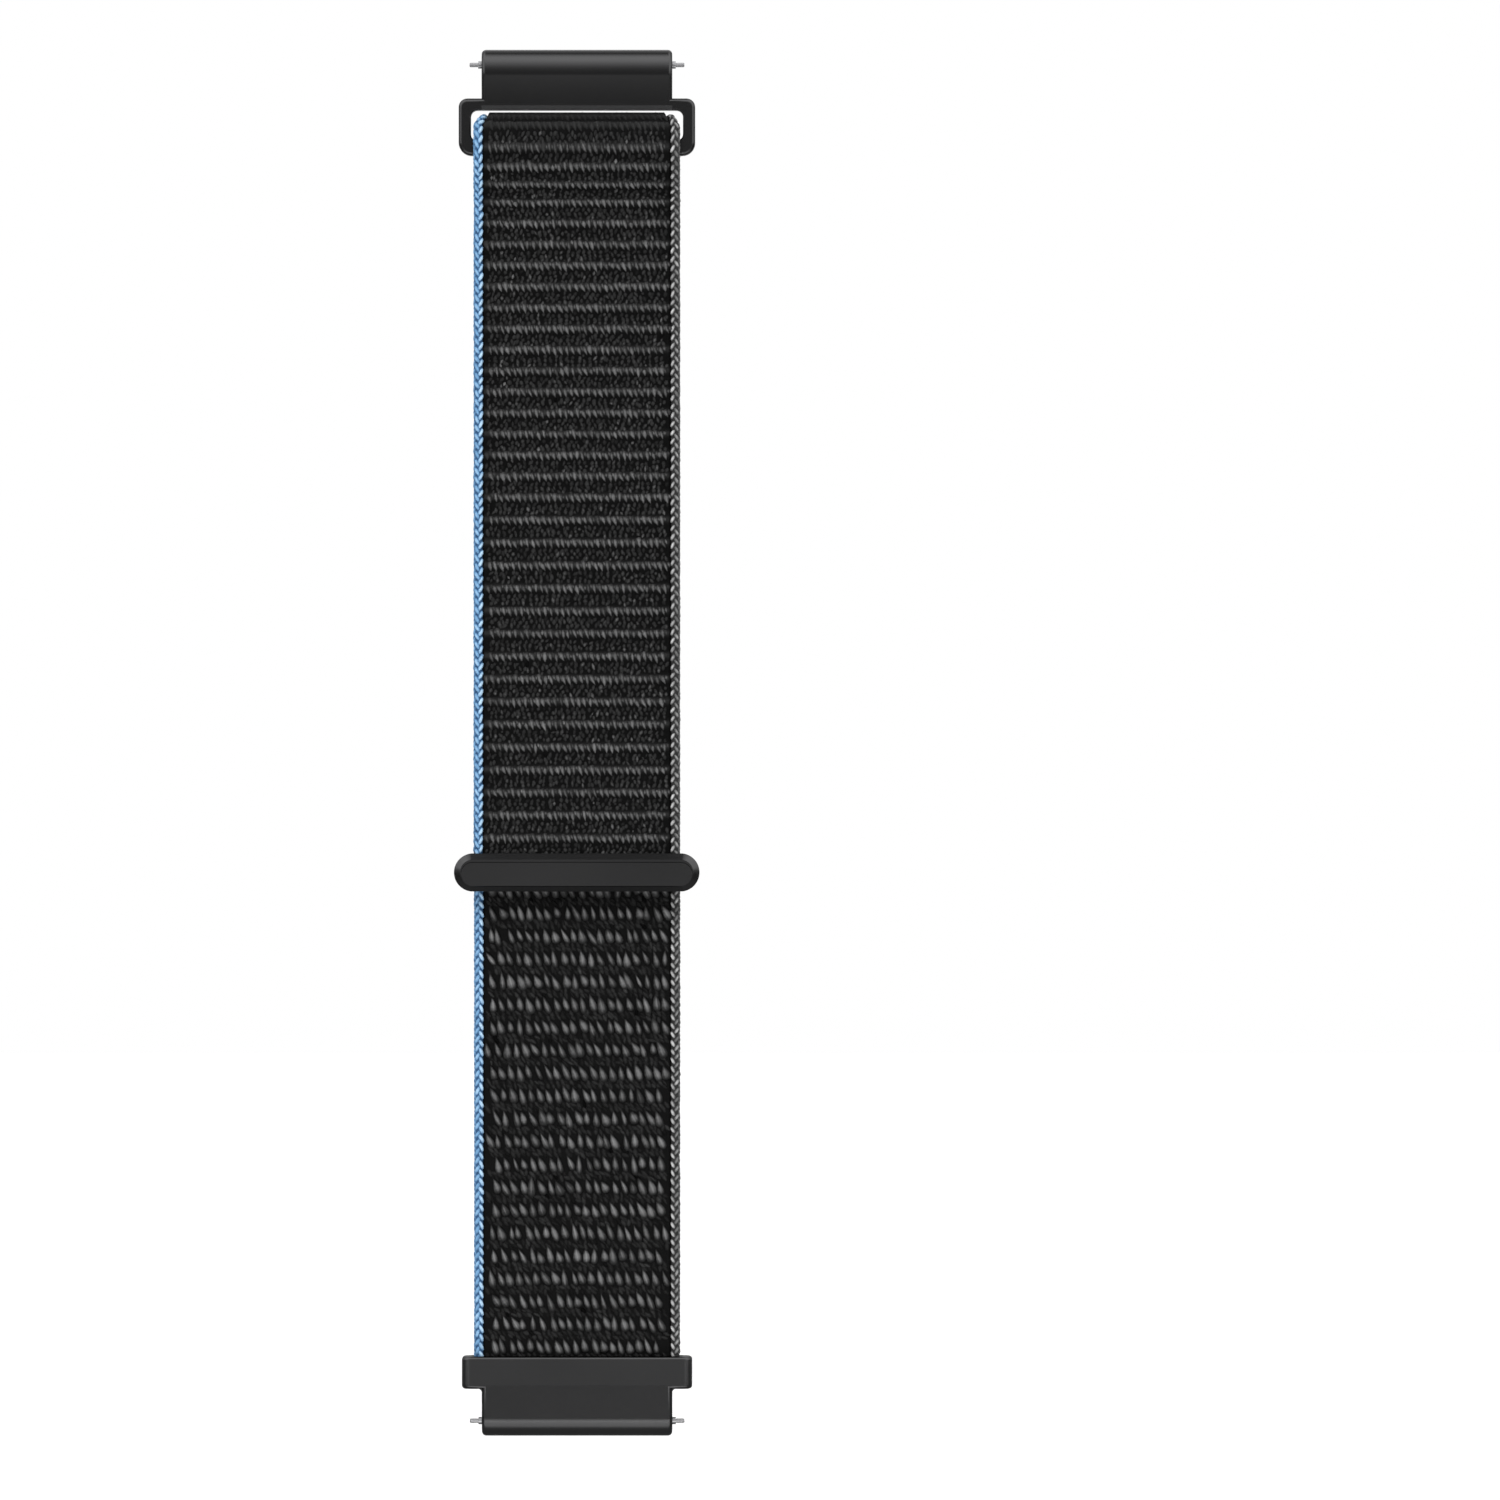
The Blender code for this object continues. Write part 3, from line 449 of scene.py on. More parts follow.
# Route of the band: places are (x, s, v), with s along it from the fold's top, and v out of the ribbed face


def route_table():
    """Points of the band's middle line from the flap's end, over the rail, to the back layer's end."""
    spread = LOOP_R - LAYER_Y
    back = []
    for a in np.radians(np.linspace(90, 0, 91)):
        back.append((LOOP_R * math.cos(a), RAIL_Z + LOOP_R * math.sin(a)))
    for t in np.linspace(1, 0, 64)[1:]:
        back.append((LAYER_Y + spread * (1 - math.cos(math.pi * t)) / 2, RAIL_Z - LOOP_LEG * (1 - t)))
    for z in np.arange(back[-1][1] - MM, LAST_LOW_Z - 4 * MM, -MM):
        back.append((LAYER_Y, z))
    back = np.array(back)
    flap = back[1:][::-1] * np.array([-1, 1])
    line = np.vstack([flap, back])
    steps = np.linalg.norm(np.diff(line, axis=0), axis=1)
    s = np.concatenate([[0], np.cumsum(steps)])
    s -= s[len(flap)]
    tangent = np.gradient(line, s, axis=0)
    tangent /= np.linalg.norm(tangent, axis=1)[:, None]
    return s, line, np.column_stack([-tangent[:, 1], tangent[:, 0]])


ROUTE_S, ROUTE_LINE, ROUTE_OUT = route_table()


def draw_in(s):
    """How far the edges draw in round the top of the fold."""
    y, z = (np.interp(s, ROUTE_S, column) for column in ROUTE_LINE.T)
    turn = np.abs(np.arctan2(y, z - RAIL_Z)) / LOOP_DRAW_IN_TURN
    return LOOP_DRAW_IN * (1 + np.cos(np.pi * np.minimum(turn, 1))) / 2


def laid(points):
    """Points (x, s, v) of the flat band, laid along its route."""
    x, s, v = points.T
    y, z, out_y, out_z = (np.interp(s, ROUTE_S, column) for column in (*ROUTE_LINE.T, *ROUTE_OUT.T))
    inward = draw_in(s) * np.minimum(np.abs(x) / FIELD_HALF, 1)
    return np.column_stack([x - np.sign(x) * inward, y + out_y * v, z + out_z * v])


def back_s(z):
    """s at a height of the back layer."""
    half = ROUTE_S >= 0
    return float(np.interp(-z, -ROUTE_LINE[half, 1], ROUTE_S[half]))


def flap_s(z):
    return -back_s(z)


# Yarns gathered into one mesh


def set_yarn_values(mesh, tone, yarn):
    """The tone and the filament places that the yarn material reads, for every vertex."""
    for name, kind, label, values in (("tone", "FLOAT", "value", tone),
                                      ("yarn", "FLOAT_VECTOR", "vector", yarn)):
        data = mesh.attributes.new(name, kind, "POINT").data
        data.foreach_set(label, values.astype(np.float32).ravel())


class Yarns:
    """Shapes in (x, s, v), gathered with their tones and filament places."""

    def __init__(self):
        self.parts = []
        self.count = 0

    def add(self, points, corners, sizes, tone, yarn):
        self.parts.append((points, corners + self.count, sizes, tone, yarn))
        self.count += len(points)

    def add_tube(self, rings, tone, across=0, first_corner=0, inverse=False):
        """A closed tube through rings of points. across is the axis that runs across its filaments."""
        count, ring = len(rings) - 1, rings.shape[1]
        first = np.arange(count)[:, None] * ring
        j = np.arange(ring)[None, :]
        k = (j + 1) % ring
        quads = np.stack([first + j, first + k, first + ring + k, first + ring + j], axis=-1).reshape(-1, 4)
        quads = np.roll(quads, -first_corner, axis=1)
        caps = np.array([np.arange(ring)[::-1], count * ring + np.arange(ring)])
        if inverse:
            quads, caps = quads[:, ::-1], caps[:, ::-1]
        points = rings.reshape(-1, 3)
        yarn = np.column_stack([points[:, across] / MM, points[:, 1 - across] / MM, np.zeros(len(points))])
        corners = np.concatenate([quads.ravel(), caps.ravel()])
        sizes = np.concatenate([np.full(len(quads), 4), [ring, ring]])
        self.add(points, corners, sizes, np.broadcast_to(tone, len(points)), yarn)

    def piece(self, name, material):
        points, corners, sizes, tone, yarn = (np.concatenate(column) for column in zip(*self.parts))
        mesh = bpy.data.meshes.new(name)
        mesh.vertices.add(len(points))
        mesh.vertices.foreach_set("co", laid(points).astype(np.float32).ravel())
        mesh.loops.add(len(corners))
        mesh.loops.foreach_set("vertex_index", corners.astype(np.int32))
        mesh.polygons.add(len(sizes))
        starts = np.concatenate([[0], np.cumsum(sizes)[:-1]])
        mesh.polygons.foreach_set("loop_start", starts.astype(np.int32))
        mesh.update(calc_edges=True)
        set_yarn_values(mesh, tone, yarn)
        mesh.shade_smooth()
        mesh.materials.append(material)
        return put(name, mesh)


class Unit:
    """One yarn form modelled once: across and along run from -0.5 to 0.5, and height from 0 to 1."""

    def __init__(self, obj):
        mesh = obj.data
        self.points = np.array([v.co for v in mesh.vertices], float)
        self.corners = np.array([i for p in mesh.polygons for i in p.vertices])
        self.mirrored = np.array([i for p in mesh.polygons for i in reversed(p.vertices)])
        self.sizes = np.array([len(p.vertices) for p in mesh.polygons])
        bpy.data.objects.remove(obj, do_unlink=True)

    def copies(self, x, s, base, side, length, width, height, turn, tone,
               taper=0.0, bow=0.0, root=0.25, fall=0.8):
        """Copies of the form at x, s on one side of the band. All values but side may be arrays."""
        count = len(x)
        across, along, rise = (self.points[:, k][None, :] for k in range(3))

        def each(value):
            return np.broadcast_to(np.asarray(value, float), (count,))[:, None]

        wide = across * each(width) * (1 + each(taper) * along) + each(bow) * (0.25 - along ** 2)
        long = along * each(length) + 0 * across
        cos, sin = np.cos(each(turn)), np.sin(each(turn))
        px = each(x) + wide * cos + long * sin
        ps = each(s) - wide * sin + long * cos
        pv = side * (each(base) + rise * each(height))
        points = np.stack([px, ps, pv], axis=-1).reshape(-1, 3)
        order = self.corners if side > 0 else self.mirrored
        corners = (order[None, :] + len(self.points) * np.arange(count)[:, None]).ravel()
        # The tone rises from root to crown: painted shade at each yarn's foot and a painted highlight on its
        # crown.
        crown = root + (1 - root) * np.clip(rise, 0, 1) ** fall
        shade = (each(tone) * crown).ravel()
        number = rng.uniform(0, 900, count)[:, None] + 0 * across
        yarn = np.stack([wide / MM, long / MM, number], axis=-1).reshape(-1, 3)
        return points, corners, np.tile(self.sizes, count), shade, yarn


def lens_unit(name, segments, rings, widths):
    """A lens modelled from a ball: its rings are drawn in to widths, and its underside is flattened."""
    bpy.ops.mesh.primitive_uv_sphere_add(segments=segments, ring_count=rings, radius=0.5)
    obj = added(name)
    obj.rotation_euler = (math.radians(-90), 0, 0)
    settle(obj)
    edit(obj)
    levels = [-0.5 * math.cos(math.pi * k / rings) for k in range(1, rings)]
    for level, width in zip(levels, widths):
        pick(obj, "VERT", lambda v, at=level: abs(v.co.y - at) < 0.01)
        bpy.ops.transform.resize(value=(width, 1, 1))
    pick(obj, "VERT", lambda v: v.co.z < 0)
    bpy.ops.transform.resize(value=(1, 1, 0.3), center_override=(0, 0, 0))
    select_all()
    bpy.ops.transform.resize(value=(1, 1, 2), center_override=(0, 0, 0))
    leave_edit()
    return Unit(obj)


PILE_LOOP = lens_unit("pile_loop", 8, 7, (0.5, 0.66, 0.84, 1.0, 1.12, 1.25))
RIB_STRAND = lens_unit("rib_strand", 6, 5, (0.7, 0.85, 1.05, 1.35))
GROUND_STRAND = lens_unit("ground_strand", 6, 4, (0.9, 1.0, 0.9))
BRAID_LOBE = lens_unit("braid_lobe", 8, 5, (1.1, 1.05, 1.05, 1.1))


def vary(value, spread, count):
    """Random sizes in metres round a value in millimetres."""
    return rng.normal(value * MM, spread * MM, count)


def row_places(count, spacing, jitter):
    """Places of one row's yarns across the field, with the whole row shifted a little."""
    shift = rng.uniform(-0.5, 0.5) * spacing
    x = (np.arange(count) - (count - 1) / 2) * spacing + shift
    x = x + rng.normal(0, jitter, count)
    limit = FIELD_HALF - GROOVE - 0.22 * spacing
    return x[np.abs(x) < limit]


def pile_rows(low, high):
    """s of the pile rows of the looped face between two places."""
    first = back_s(PILE_ROW_Z)
    rows = first - PILE_PITCH * np.arange(-2, 120)
    return rows[(rows >= low) & (rows < high)]


def rib_rows(low, high):
    """s of the bright rows of the ribbed face. They lie closer together near the fold, whose top has one."""
    change = flap_s(RIB_CHANGE_Z)
    fold = np.array([-s for s in FOLD_RIBS[:0:-1]] + FOLD_RIBS)
    upper = np.linspace(change, fold[0], UPPER_RIB_COUNT + 1)[:-1]
    lower = change - RIB_PITCH * np.arange(1, 40)
    back = fold[-1] + RIB_PITCH * np.arange(1, 70)
    rows = np.sort(np.concatenate([lower, upper, fold, back]))
    return rows[(rows >= low) & (rows < high)]


def leaning(lean, spread, count):
    """Random leans in radians round a value in degrees."""
    return np.radians(rng.normal(lean, spread, count))


def add_strands(yarns, x, s, ground, side, kind, tone, more_lean=0, glint=0.0, shade=1.0, root=0.05):
    """One row of dark strands. kind is one of the three above, and tone comes with its spread."""
    n = len(x)
    sink, jitter, length, width, height, (lean, lean_spread) = kind
    yarns.add(*GROUND_STRAND.copies(
        x, s + vary(0, jitter, n), ground - sink * MM, side, vary(*length, n), vary(*width, n),
        vary(*height, n), leaning(lean + more_lean, lean_spread, n), (rng.normal(*tone, n) + glint) * shade,
        root=root))


def add_pile(yarns, low, high):
    """Face with the pile: fat slanted loops in rows, and dark slanted strands in the valleys."""
    for s in pile_rows(low, high):
        x = row_places(*PILE_ROW)
        n = len(x)
        chance = rng.random(n)
        length = vary(*LOOP_LENGTH, n)
        width = np.where(chance < WIDE_SHARE, vary(*WIDE_LOOP, n), vary(*NARROW_LOOP, n))
        length = np.where(chance < SHORT_SHARE, length * SHORTENED, length)
        turn = leaning(*LOOP_LEAN, n)
        yarns.add(*PILE_LOOP.copies(
            x, s + vary(0, 0.08, n), PILE_GROUND - 0.03 * MM, -1, length, width,
            TOP_LEVEL - PILE_GROUND + vary(*LOOP_RISE, n), turn, rng.normal(*LOOP_TONE, n),
            taper=rng.uniform(-0.1, 0.9, n), bow=vary(0, 0.15, n), root=0.02, fall=1.5))
        for drop, tone in VALLEY_ROWS:
            add_strands(yarns, row_places(*VALLEY_ROW), s + drop * MM, PILE_GROUND, -1, VALLEY_STRAND,
                        (tone, VALLEY_TONE_SPREAD))


def selvedge_shade(x):
    """The first yarns beside the blue edge are darker."""
    return 1 - 0.3 * np.exp(-((x + FIELD_HALF) / (0.8 * MM)) ** 2)


def add_ribs(yarns, low, high):
    """Ribbed face: one bright row of tapering strands to each rib, with dark strands between the rows."""
    for s in rib_rows(low, high):
        bare = abs(s) < FOLD_BARE
        rank = int(np.argmin(np.abs(np.array(FOLD_RIBS) - abs(s))))
        row_tone = FOLD_TONES[rank] if rank < len(FOLD_TONES) and abs(s) < FOLD_RIBS[-1] else 1.0
        x = row_places(*RIB_ROW)
        n = len(x)
        shade = selvedge_shade(x) * row_tone
        add_strands(yarns, x + 0.5 * RIB_SPACING, s - 0.08 * MM, RIB_GROUND, 1, SHORT_STRAND, SHORT_TONE,
                    shade=shade, root=0.08)
        yarns.add(*RIB_STRAND.copies(
            x, s - RIB_DROP + vary(0, 0.05, n), RIB_GROUND - 0.05 * MM, 1, vary(*RIB_LENGTH, n),
            vary(*RIB_WIDTH, n), TOP_LEVEL - RIB_GROUND + vary(*RIB_RISE, n) + BARE_RISE * bare,
            leaning(*RIB_LEAN, n), rng.normal(*RIB_TONE, n) * shade,
            taper=rng.uniform(0.5, 1.1, n), bow=vary(0, 0.06, n), root=0.06))
        if bare:
            continue
        for drop, lean, tone in DARK_ROWS:
            x = row_places(*DARK_ROW)
            glint = np.where(rng.random(len(x)) < GLINT_SHARE, GLINT, 0.0)
            add_strands(yarns, x, s - drop * MM, RIB_GROUND, 1, DARK_STRAND, (tone, DARK_TONE_SPREAD),
                        more_lean=lean, glint=glint, shade=selvedge_shade(x))


def steps_between(low, high, pitch):
    """Even steps from low to high, about a pitch apart."""
    return np.linspace(low, high, max(2, int(math.ceil((high - low) / pitch))) + 1)


def add_ground(yarns, low, high, inner):
    """The woven ground under the yarns. It swells under each rib, and its sides run into the edges."""
    s = steps_between(low, high, GROUND_STEP)
    rows = rib_rows(low - 3 * MM, high + 3 * MM)
    near = np.min(np.abs(s[:, None] - rows[None, :] + 0.1 * MM), axis=1)
    swell = np.exp(-(near / SWELL_HALF) ** 2)
    crest = np.exp(-(s / CREST_HALF) ** 4)
    across = np.linspace(-1, 1, 7) * (FIELD_HALF - GROOVE)
    top = RIB_GROUND - 0.04 * MM + SWELL_RISE * swell
    top = np.maximum(top, RIB_GROUND + (TOP_LEVEL + 0.06 * MM - RIB_GROUND) * crest)
    tuck = FIELD_HALF + SIDE_TUCK
    rings = []
    for a, t in zip(s, top):
        side = [(tuck, a, SIDE_HALF), (tuck, a, max(inner, -SIDE_HALF))]
        rings.append([(x, a, t) for x in across] + side + [(x, a, inner) for x in across[::-1]]
                     + [(-x, a, v) for x, a, v in side[::-1]])
    # The tone is low in the hollows between the swells, painted shade, and higher on the swells.
    shade = (0.03 + 0.3 * swell) * (1 - crest) + CREST_TONE * crest
    below = np.full((len(s), len(across) + 4), 0.05)
    tone = np.hstack([np.repeat(shade[:, None], len(across), axis=1), below])
    yarns.add_tube(np.array(rings), tone.ravel(), across=1)


def add_edge_core(yarns, low, high, side, inner_share):
    """The core inside a braided edge. Its dark tone is painted shade where it shows between the lobes."""
    s = steps_between(low, high, CORE_STEP)
    turns = np.linspace(0, math.tau, 13)[:-1]
    v = (EDGE_THICKNESS / 2 - CORE_INSET) * np.sin(turns)
    v = np.where(v < 0, v * inner_share, v)
    x = side * (EDGE_CENTRE + (EDGE_WIDTH / 2 - CORE_INSET) * np.cos(turns))
    rings = np.stack(np.broadcast_arrays(x, s[:, None], v), axis=-1)
    yarns.add_tube(rings, 0.1, first_corner=1, inverse=side > 0)


def add_braid(yarns, low, high, side, columns, inner_share):
    """Slanted lobes round an edge. Each column is (angle, lean, tone, length share, width share)."""
    half_width, half_thick = EDGE_WIDTH / 2 - LOBE_INSET, EDGE_THICKNESS / 2 - LOBE_INSET
    for number, (angle, lean, tone, long, wide) in enumerate(columns):
        stagger = 0.5 * (number % 2)
        start = math.ceil((low - BRAID_PITCH * stagger) / BRAID_PITCH)
        s = (np.arange(start, start + 200) + stagger) * BRAID_PITCH
        s = s[(s >= low) & (s < high)]
        n = len(s)
        if not n:
            continue
        points, corners, sizes, shade, yarn = BRAID_LOBE.copies(
            np.zeros(n), np.zeros(n), 0.0, 1, vary(LOBE_LENGTH * long, 0.05, n),
            vary(LOBE_WIDTH * wide, 0.025, n), vary(*LOBE_HEIGHT, n), leaning(lean * side, 4, n),
            rng.normal(tone, 0.07, n), root=0.05)
        turn = math.radians(angle)
        out = points[:, 2] - LOBE_SINK
        normal = np.array([math.cos(turn) * half_thick, math.sin(turn) * half_width])
        normal /= np.linalg.norm(normal)
        place_x = half_width * math.cos(turn) + out * normal[0] + points[:, 0] * normal[1]
        place_v = half_thick * math.sin(turn) + out * normal[1] - points[:, 0] * normal[0]
        place_v = np.where(place_v < 0, place_v * inner_share, place_v)
        place_s = np.repeat(s, len(BRAID_LOBE.points)) + points[:, 1]
        if side < 0:
            corners = np.tile(BRAID_LOBE.mirrored, n) + np.repeat(
                np.arange(n) * len(BRAID_LOBE.points), len(BRAID_LOBE.mirrored))
        bent = np.column_stack([side * (EDGE_CENTRE + place_x), place_s, place_v])
        yarns.add(bent, corners, sizes, shade, yarn)


# Columns of lobes: both faces of an edge show an inner and an outer one, and the inner one is the lighter
BLUE_COLUMNS = [
    (118, 33, 1.0, 1.0, 1.08), (66, -33, 0.66, 0.95, 1.05), (20, 30, 0.47, 1.0, 1.15),
    (-24, -30, 0.47, 1.0, 1.15), (-66, 33, 0.66, 0.95, 1.05), (-118, -33, 1.0, 1.0, 1.08),
]
GREY_COLUMNS = [
    (118, 36, 0.86, 0.85, 0.95), (66, -36, 0.64, 0.8, 0.85), (20, 30, 0.55, 0.8, 0.85),
    (-24, -30, 0.55, 0.8, 0.85), (-66, 36, 0.64, 0.8, 0.85), (-118, -36, 0.86, 0.85, 0.95),
]


def band_length(name, low, high, nodes, fix, inner=-PILE_GROUND, pile=()):
    """One length of the band: the black weave and both braided edges. fix is called on each piece: it puts
    the piece on its body, or leaves it in place.
    """
    weave = Yarns()
    add_ground(weave, low, high, inner)
    add_ribs(weave, low, high)
    for start, end in pile:
        add_pile(weave, max(low, start), min(high, end))
    made = weave.piece(f"{name}_weave", BLACK_YARN)
    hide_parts(*nodes)
    fix(made)
    share = 0.8 if inner > -PILE_GROUND else 1.0
    for label, side, columns, yarn, slot in (
        ("blue_edge", -1, BLUE_COLUMNS, BLUE_YARN, "edge_blue"),
        ("grey_edge", 1, GREY_COLUMNS, GREY_YARN, "edge_grey"),
    ):
        edge = Yarns()
        add_edge_core(edge, low, high, side, share)
        add_braid(edge, low, high, side, columns, share)
        made = edge.piece(f"{name}_{label}", yarn)
        fix(made)


def rides(body):
    return lambda obj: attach(obj, body)


def bends(first, second, y, top, bottom):
    return lambda obj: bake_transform(obj)


def make_back_layer():
    """Lengths of the back layer, from cut to cut."""
    everywhere = [(-1.0, 1.0)]
    for k in range(7):
        top, bottom = STRAP_CUTS[k], STRAP_CUTS[k + 1]
        band_length(f"back_{k + 1}", back_s(top), back_s(bottom), [f"band_{k + 2}"],
                    bends(f"strap_{k + 1}", f"strap_{k + 2}", LAYER_Y, top, bottom), pile=everywhere)
    band_length("back_end", back_s(STRAP_CUTS[7]), back_s(BAND_END_Z), [], rides("strap_8"), pile=everywhere)


def make_fold():
    """The length that is looped over the ring's rail, down to the flap's root."""
    low, high = flap_s(PEEL_Z), back_s(STRAP_CUTS[0])
    clear = LOOP_R * math.pi / 2 + 0.5 * MM
    band_length("fold", low, high, ["band_loop"], rides("strap_1"), pile=[(low, -clear), (clear, high)])


def make_flap():
    """Lengths of the flap."""
    tape_top = flap_s(TAPE_TOP_Z)
    with_pile = [(tape_top + 0.6 * MM, 1.0)]
    band_length("flap_root", flap_s(PEEL_END_Z), flap_s(PEEL_Z), ["flap_band_1"],
                bends("strap_1", "flap_1", -LAYER_Y, PEEL_Z, PEEL_END_Z), pile=with_pile)
    band_length("flap_1_top", flap_s(STRAP_CUTS[1]), flap_s(PEEL_END_Z), [],
                bends("flap_1", "flap_2", -LAYER_Y, PEEL_END_Z, STRAP_CUTS[1]), pile=with_pile)
    upper, middle, lower = (bends(*bend) for bend in TAPED_BENDS)
    first_cut, second_cut, third_cut = (flap_s(z) for z in STRAP_CUTS[1:4])
    band_length("flap_2_top", tape_top, first_cut, ["flap_band_2"], upper, pile=with_pile)
    band_length("flap_2_low", second_cut, tape_top, [], upper, inner=CORE_FACE)
    band_length("flap_3", third_cut, second_cut, ["flap_band_3", "flap_band_4"], middle, inner=CORE_FACE)
    band_length("flap_4", flap_s(BAR_MOUTH_Z - TUCK), third_cut, ["flap_band_5"], lower, inner=CORE_FACE)


# Metal


def rounded_plate(name, left, right, low, high, low_r, high_r, depth):
    """An upright plate with round corners, depth to the front and depth to the back."""
    middle = (low + high) / 2
    bpy.ops.mesh.primitive_plane_add(size=1, rotation=(math.pi / 2, 0, 0),
                                     location=((left + right) / 2, -depth, middle))
    obj = added(name)
    obj.scale = (right - left, high - low, 1)
    settle(obj)
    edit(obj)
    for radius, way in ((high_r, 1), (low_r, -1)):
        pick(obj, "VERT", lambda v, up=way: up * (v.co.z - middle) > 0)
        bevel(radius, 8, "VERTICES", clamp=True)
    select_all()
    bpy.ops.mesh.extrude_region_move(TRANSFORM_OT_translate={"value": (0, 2 * depth, 0)})
    face_outwards()
    leave_edit()
    return obj


def cylinder(name, radius, length, centre, turn, sides):
    """A cylinder that was upright, turned about x and y."""
    bpy.ops.mesh.primitive_cylinder_add(vertices=sides, radius=radius, depth=length, location=centre,
                                        rotation=(*turn, 0))
    return settle(added(name))


def round_rod(name, radius, left, right, y, z):
    return cylinder(name, radius, right - left, ((left + right) / 2, y, z), (0, math.pi / 2), 48)


def box_between(name, low, high):
    bpy.ops.mesh.primitive_cube_add(size=1, location=[(a + b) / 2 for a, b in zip(low, high)])
    obj = added(name)
    obj.scale = [b - a for a, b in zip(low, high)]
    return settle(obj)


TINY = 0.01 * MM
LUG_WIDTH = 22.0 * MM
LUG_HALF = LUG_WIDTH / 2
BARREL_R = 1.75 * MM
WEB_HALF = 1.16 * MM
BORE_R = 0.85 * MM
END_ROUND = 0.5 * MM
SLOT_HALF = 0.33 * MM
KNOB_X = 9.25 * MM
PIN_TRAVEL = 1.3 * MM
RING_DROP = 3.9 * MM
WEB_LAP = 0.7 * MM
BEYOND = 1.0 * MM


def lug_block(name, y, z, web_end, web_half, stretch, side):
    """The block that takes a spring bar: a barrel, drawn out a little towards its flat web.

    side is 1 where the web is below the barrel, and -1 where it is above.
    """
    bpy.ops.mesh.primitive_circle_add(vertices=128, radius=BARREL_R, fill_type="NOTHING",
                                      location=(-LUG_HALF, y, z), rotation=(0, math.pi / 2, 0))
    obj = settle(added(name))
    edit(obj)
    select_all()
    bpy.ops.transform.resize(value=(1, 1, stretch), center_override=(-LUG_HALF, y, z + side * BARREL_R))
    level = z + side * BARREL_R * (1 - stretch)
    lean = (BARREL_R - web_half) / abs(web_end - level)
    level -= side * BARREL_R * stretch * math.sin(math.atan(stretch * lean))
    pick(obj, "VERT", lambda v: side * (v.co.z - level) < -0.001 * MM)
    bpy.ops.mesh.delete(type="VERT")
    last = min(bmesh.from_edit_mesh(obj.data).verts, key=lambda v: side * v.co.z).co.copy()
    pick(obj, "VERT", lambda v: abs(v.co.z - last.z) < TINY)
    bpy.ops.mesh.extrude_vertices_move(TRANSFORM_OT_translate={"value": (0, 0, web_end - last.z)})
    bpy.ops.transform.resize(value=(1, web_half / abs(last.y - y), 1), center_override=(0, y, web_end))
    select_all()
    bpy.ops.mesh.edge_face_add()
    bpy.ops.mesh.extrude_region_move(TRANSFORM_OT_translate={"value": (LUG_WIDTH, 0, 0)})
    face_outwards()
    pick(obj, "EDGE", lambda e: extent(e, 0) < TINY)
    bevel(END_ROUND, 5)
    leave_edit()
    return obj


def cut_bar_seat(obj, y, z):
    """The bore for the spring bar, and the slot at the back that its release peg runs in."""
    carve(obj, round_rod("bar_bore", BORE_R, -LUG_HALF - BEYOND, LUG_HALF + BEYOND, y, z))
    carve(obj, box_between("peg_slot", (KNOB_X - PIN_TRAVEL - SLOT_HALF, y + SLOT_HALF, z - SLOT_HALF),
                           (KNOB_X + SLOT_HALF, y + BARREL_R + BEYOND, z + SLOT_HALF)))


UPPER_STRETCH = 1.45
LOWER_STRETCH = 1.4
RING_HALF_DEPTH = 1.2 * MM
RING_LOW_CORNER_R = 1.5 * MM
RING_HIGH_CORNER_R = 1.0 * MM
RING_TOP_RAIL = 1.35 * MM
RING_BOTTOM_RAIL = 1.72 * MM
RING_ARM = 1.4 * MM
RING_CHAMFER = 0.45 * MM
RING_LIP = 0.52 * MM
RING_LIP_TURN = math.radians(19)
SLOT_CORNER_R = 0.75 * MM
SLOT_EDGE_ROUND = 0.15 * MM


def make_ring_adapter():
    """The upper adapter: a block on a flat ring with round corners."""
    left, right = RING_LOW.x, RING_HIGH.x
    low, high = RING_LOW.z, -RING_DROP
    obj = rounded_plate("ring", left, right, low, high, RING_LOW_CORNER_R, RING_HIGH_CORNER_R,
                        RING_HALF_DEPTH)
    step = obj.modifiers.new("edge_round", "BEVEL")
    step.width = RING_CHAMFER
    step.segments = 5
    step.limit_method = "ANGLE"
    step.angle_limit = math.radians(60)
    apply_modifier(obj, step)
    slot_low, slot_high = low + RING_BOTTOM_RAIL, high - RING_TOP_RAIL
    carve(obj, rounded_plate("slot", left + RING_ARM, right - RING_ARM, slot_low, slot_high,
                             SLOT_CORNER_R, SLOT_CORNER_R, RING_HALF_DEPTH + BEYOND))
    edit(obj)
    pick(obj, "EDGE", lambda e: all(
        abs(abs(v.co.y) - RING_HALF_DEPTH) < TINY and abs(v.co.x) < right - RING_ARM + TINY
        and slot_low - TINY < v.co.z < slot_high + TINY for v in e.verts))
    bevel(SLOT_EDGE_ROUND, 3)
    leave_edit()
    lip = box_between("lip", (-LUG_HALF, -BEYOND, -BEYOND), (LUG_HALF, 0, 0))
    lip.rotation_euler = (RING_LIP_TURN, 0, 0)
    lip.location = (0, -RING_HALF_DEPTH, slot_high + RING_LIP)
    carve(obj, settle(lip))
    block = lug_block("block", 0, 0, -RING_DROP - WEB_LAP, WEB_HALF, UPPER_STRETCH, 1)
    cut_bar_seat(block, 0, 0)
    carve(obj, block, "UNION")
    smooth_metal(obj)
    obj.name = "ring_adapter_body"
    paint(obj, COATED_METAL)
    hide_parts("ring_adapter")
    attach(obj, "root")


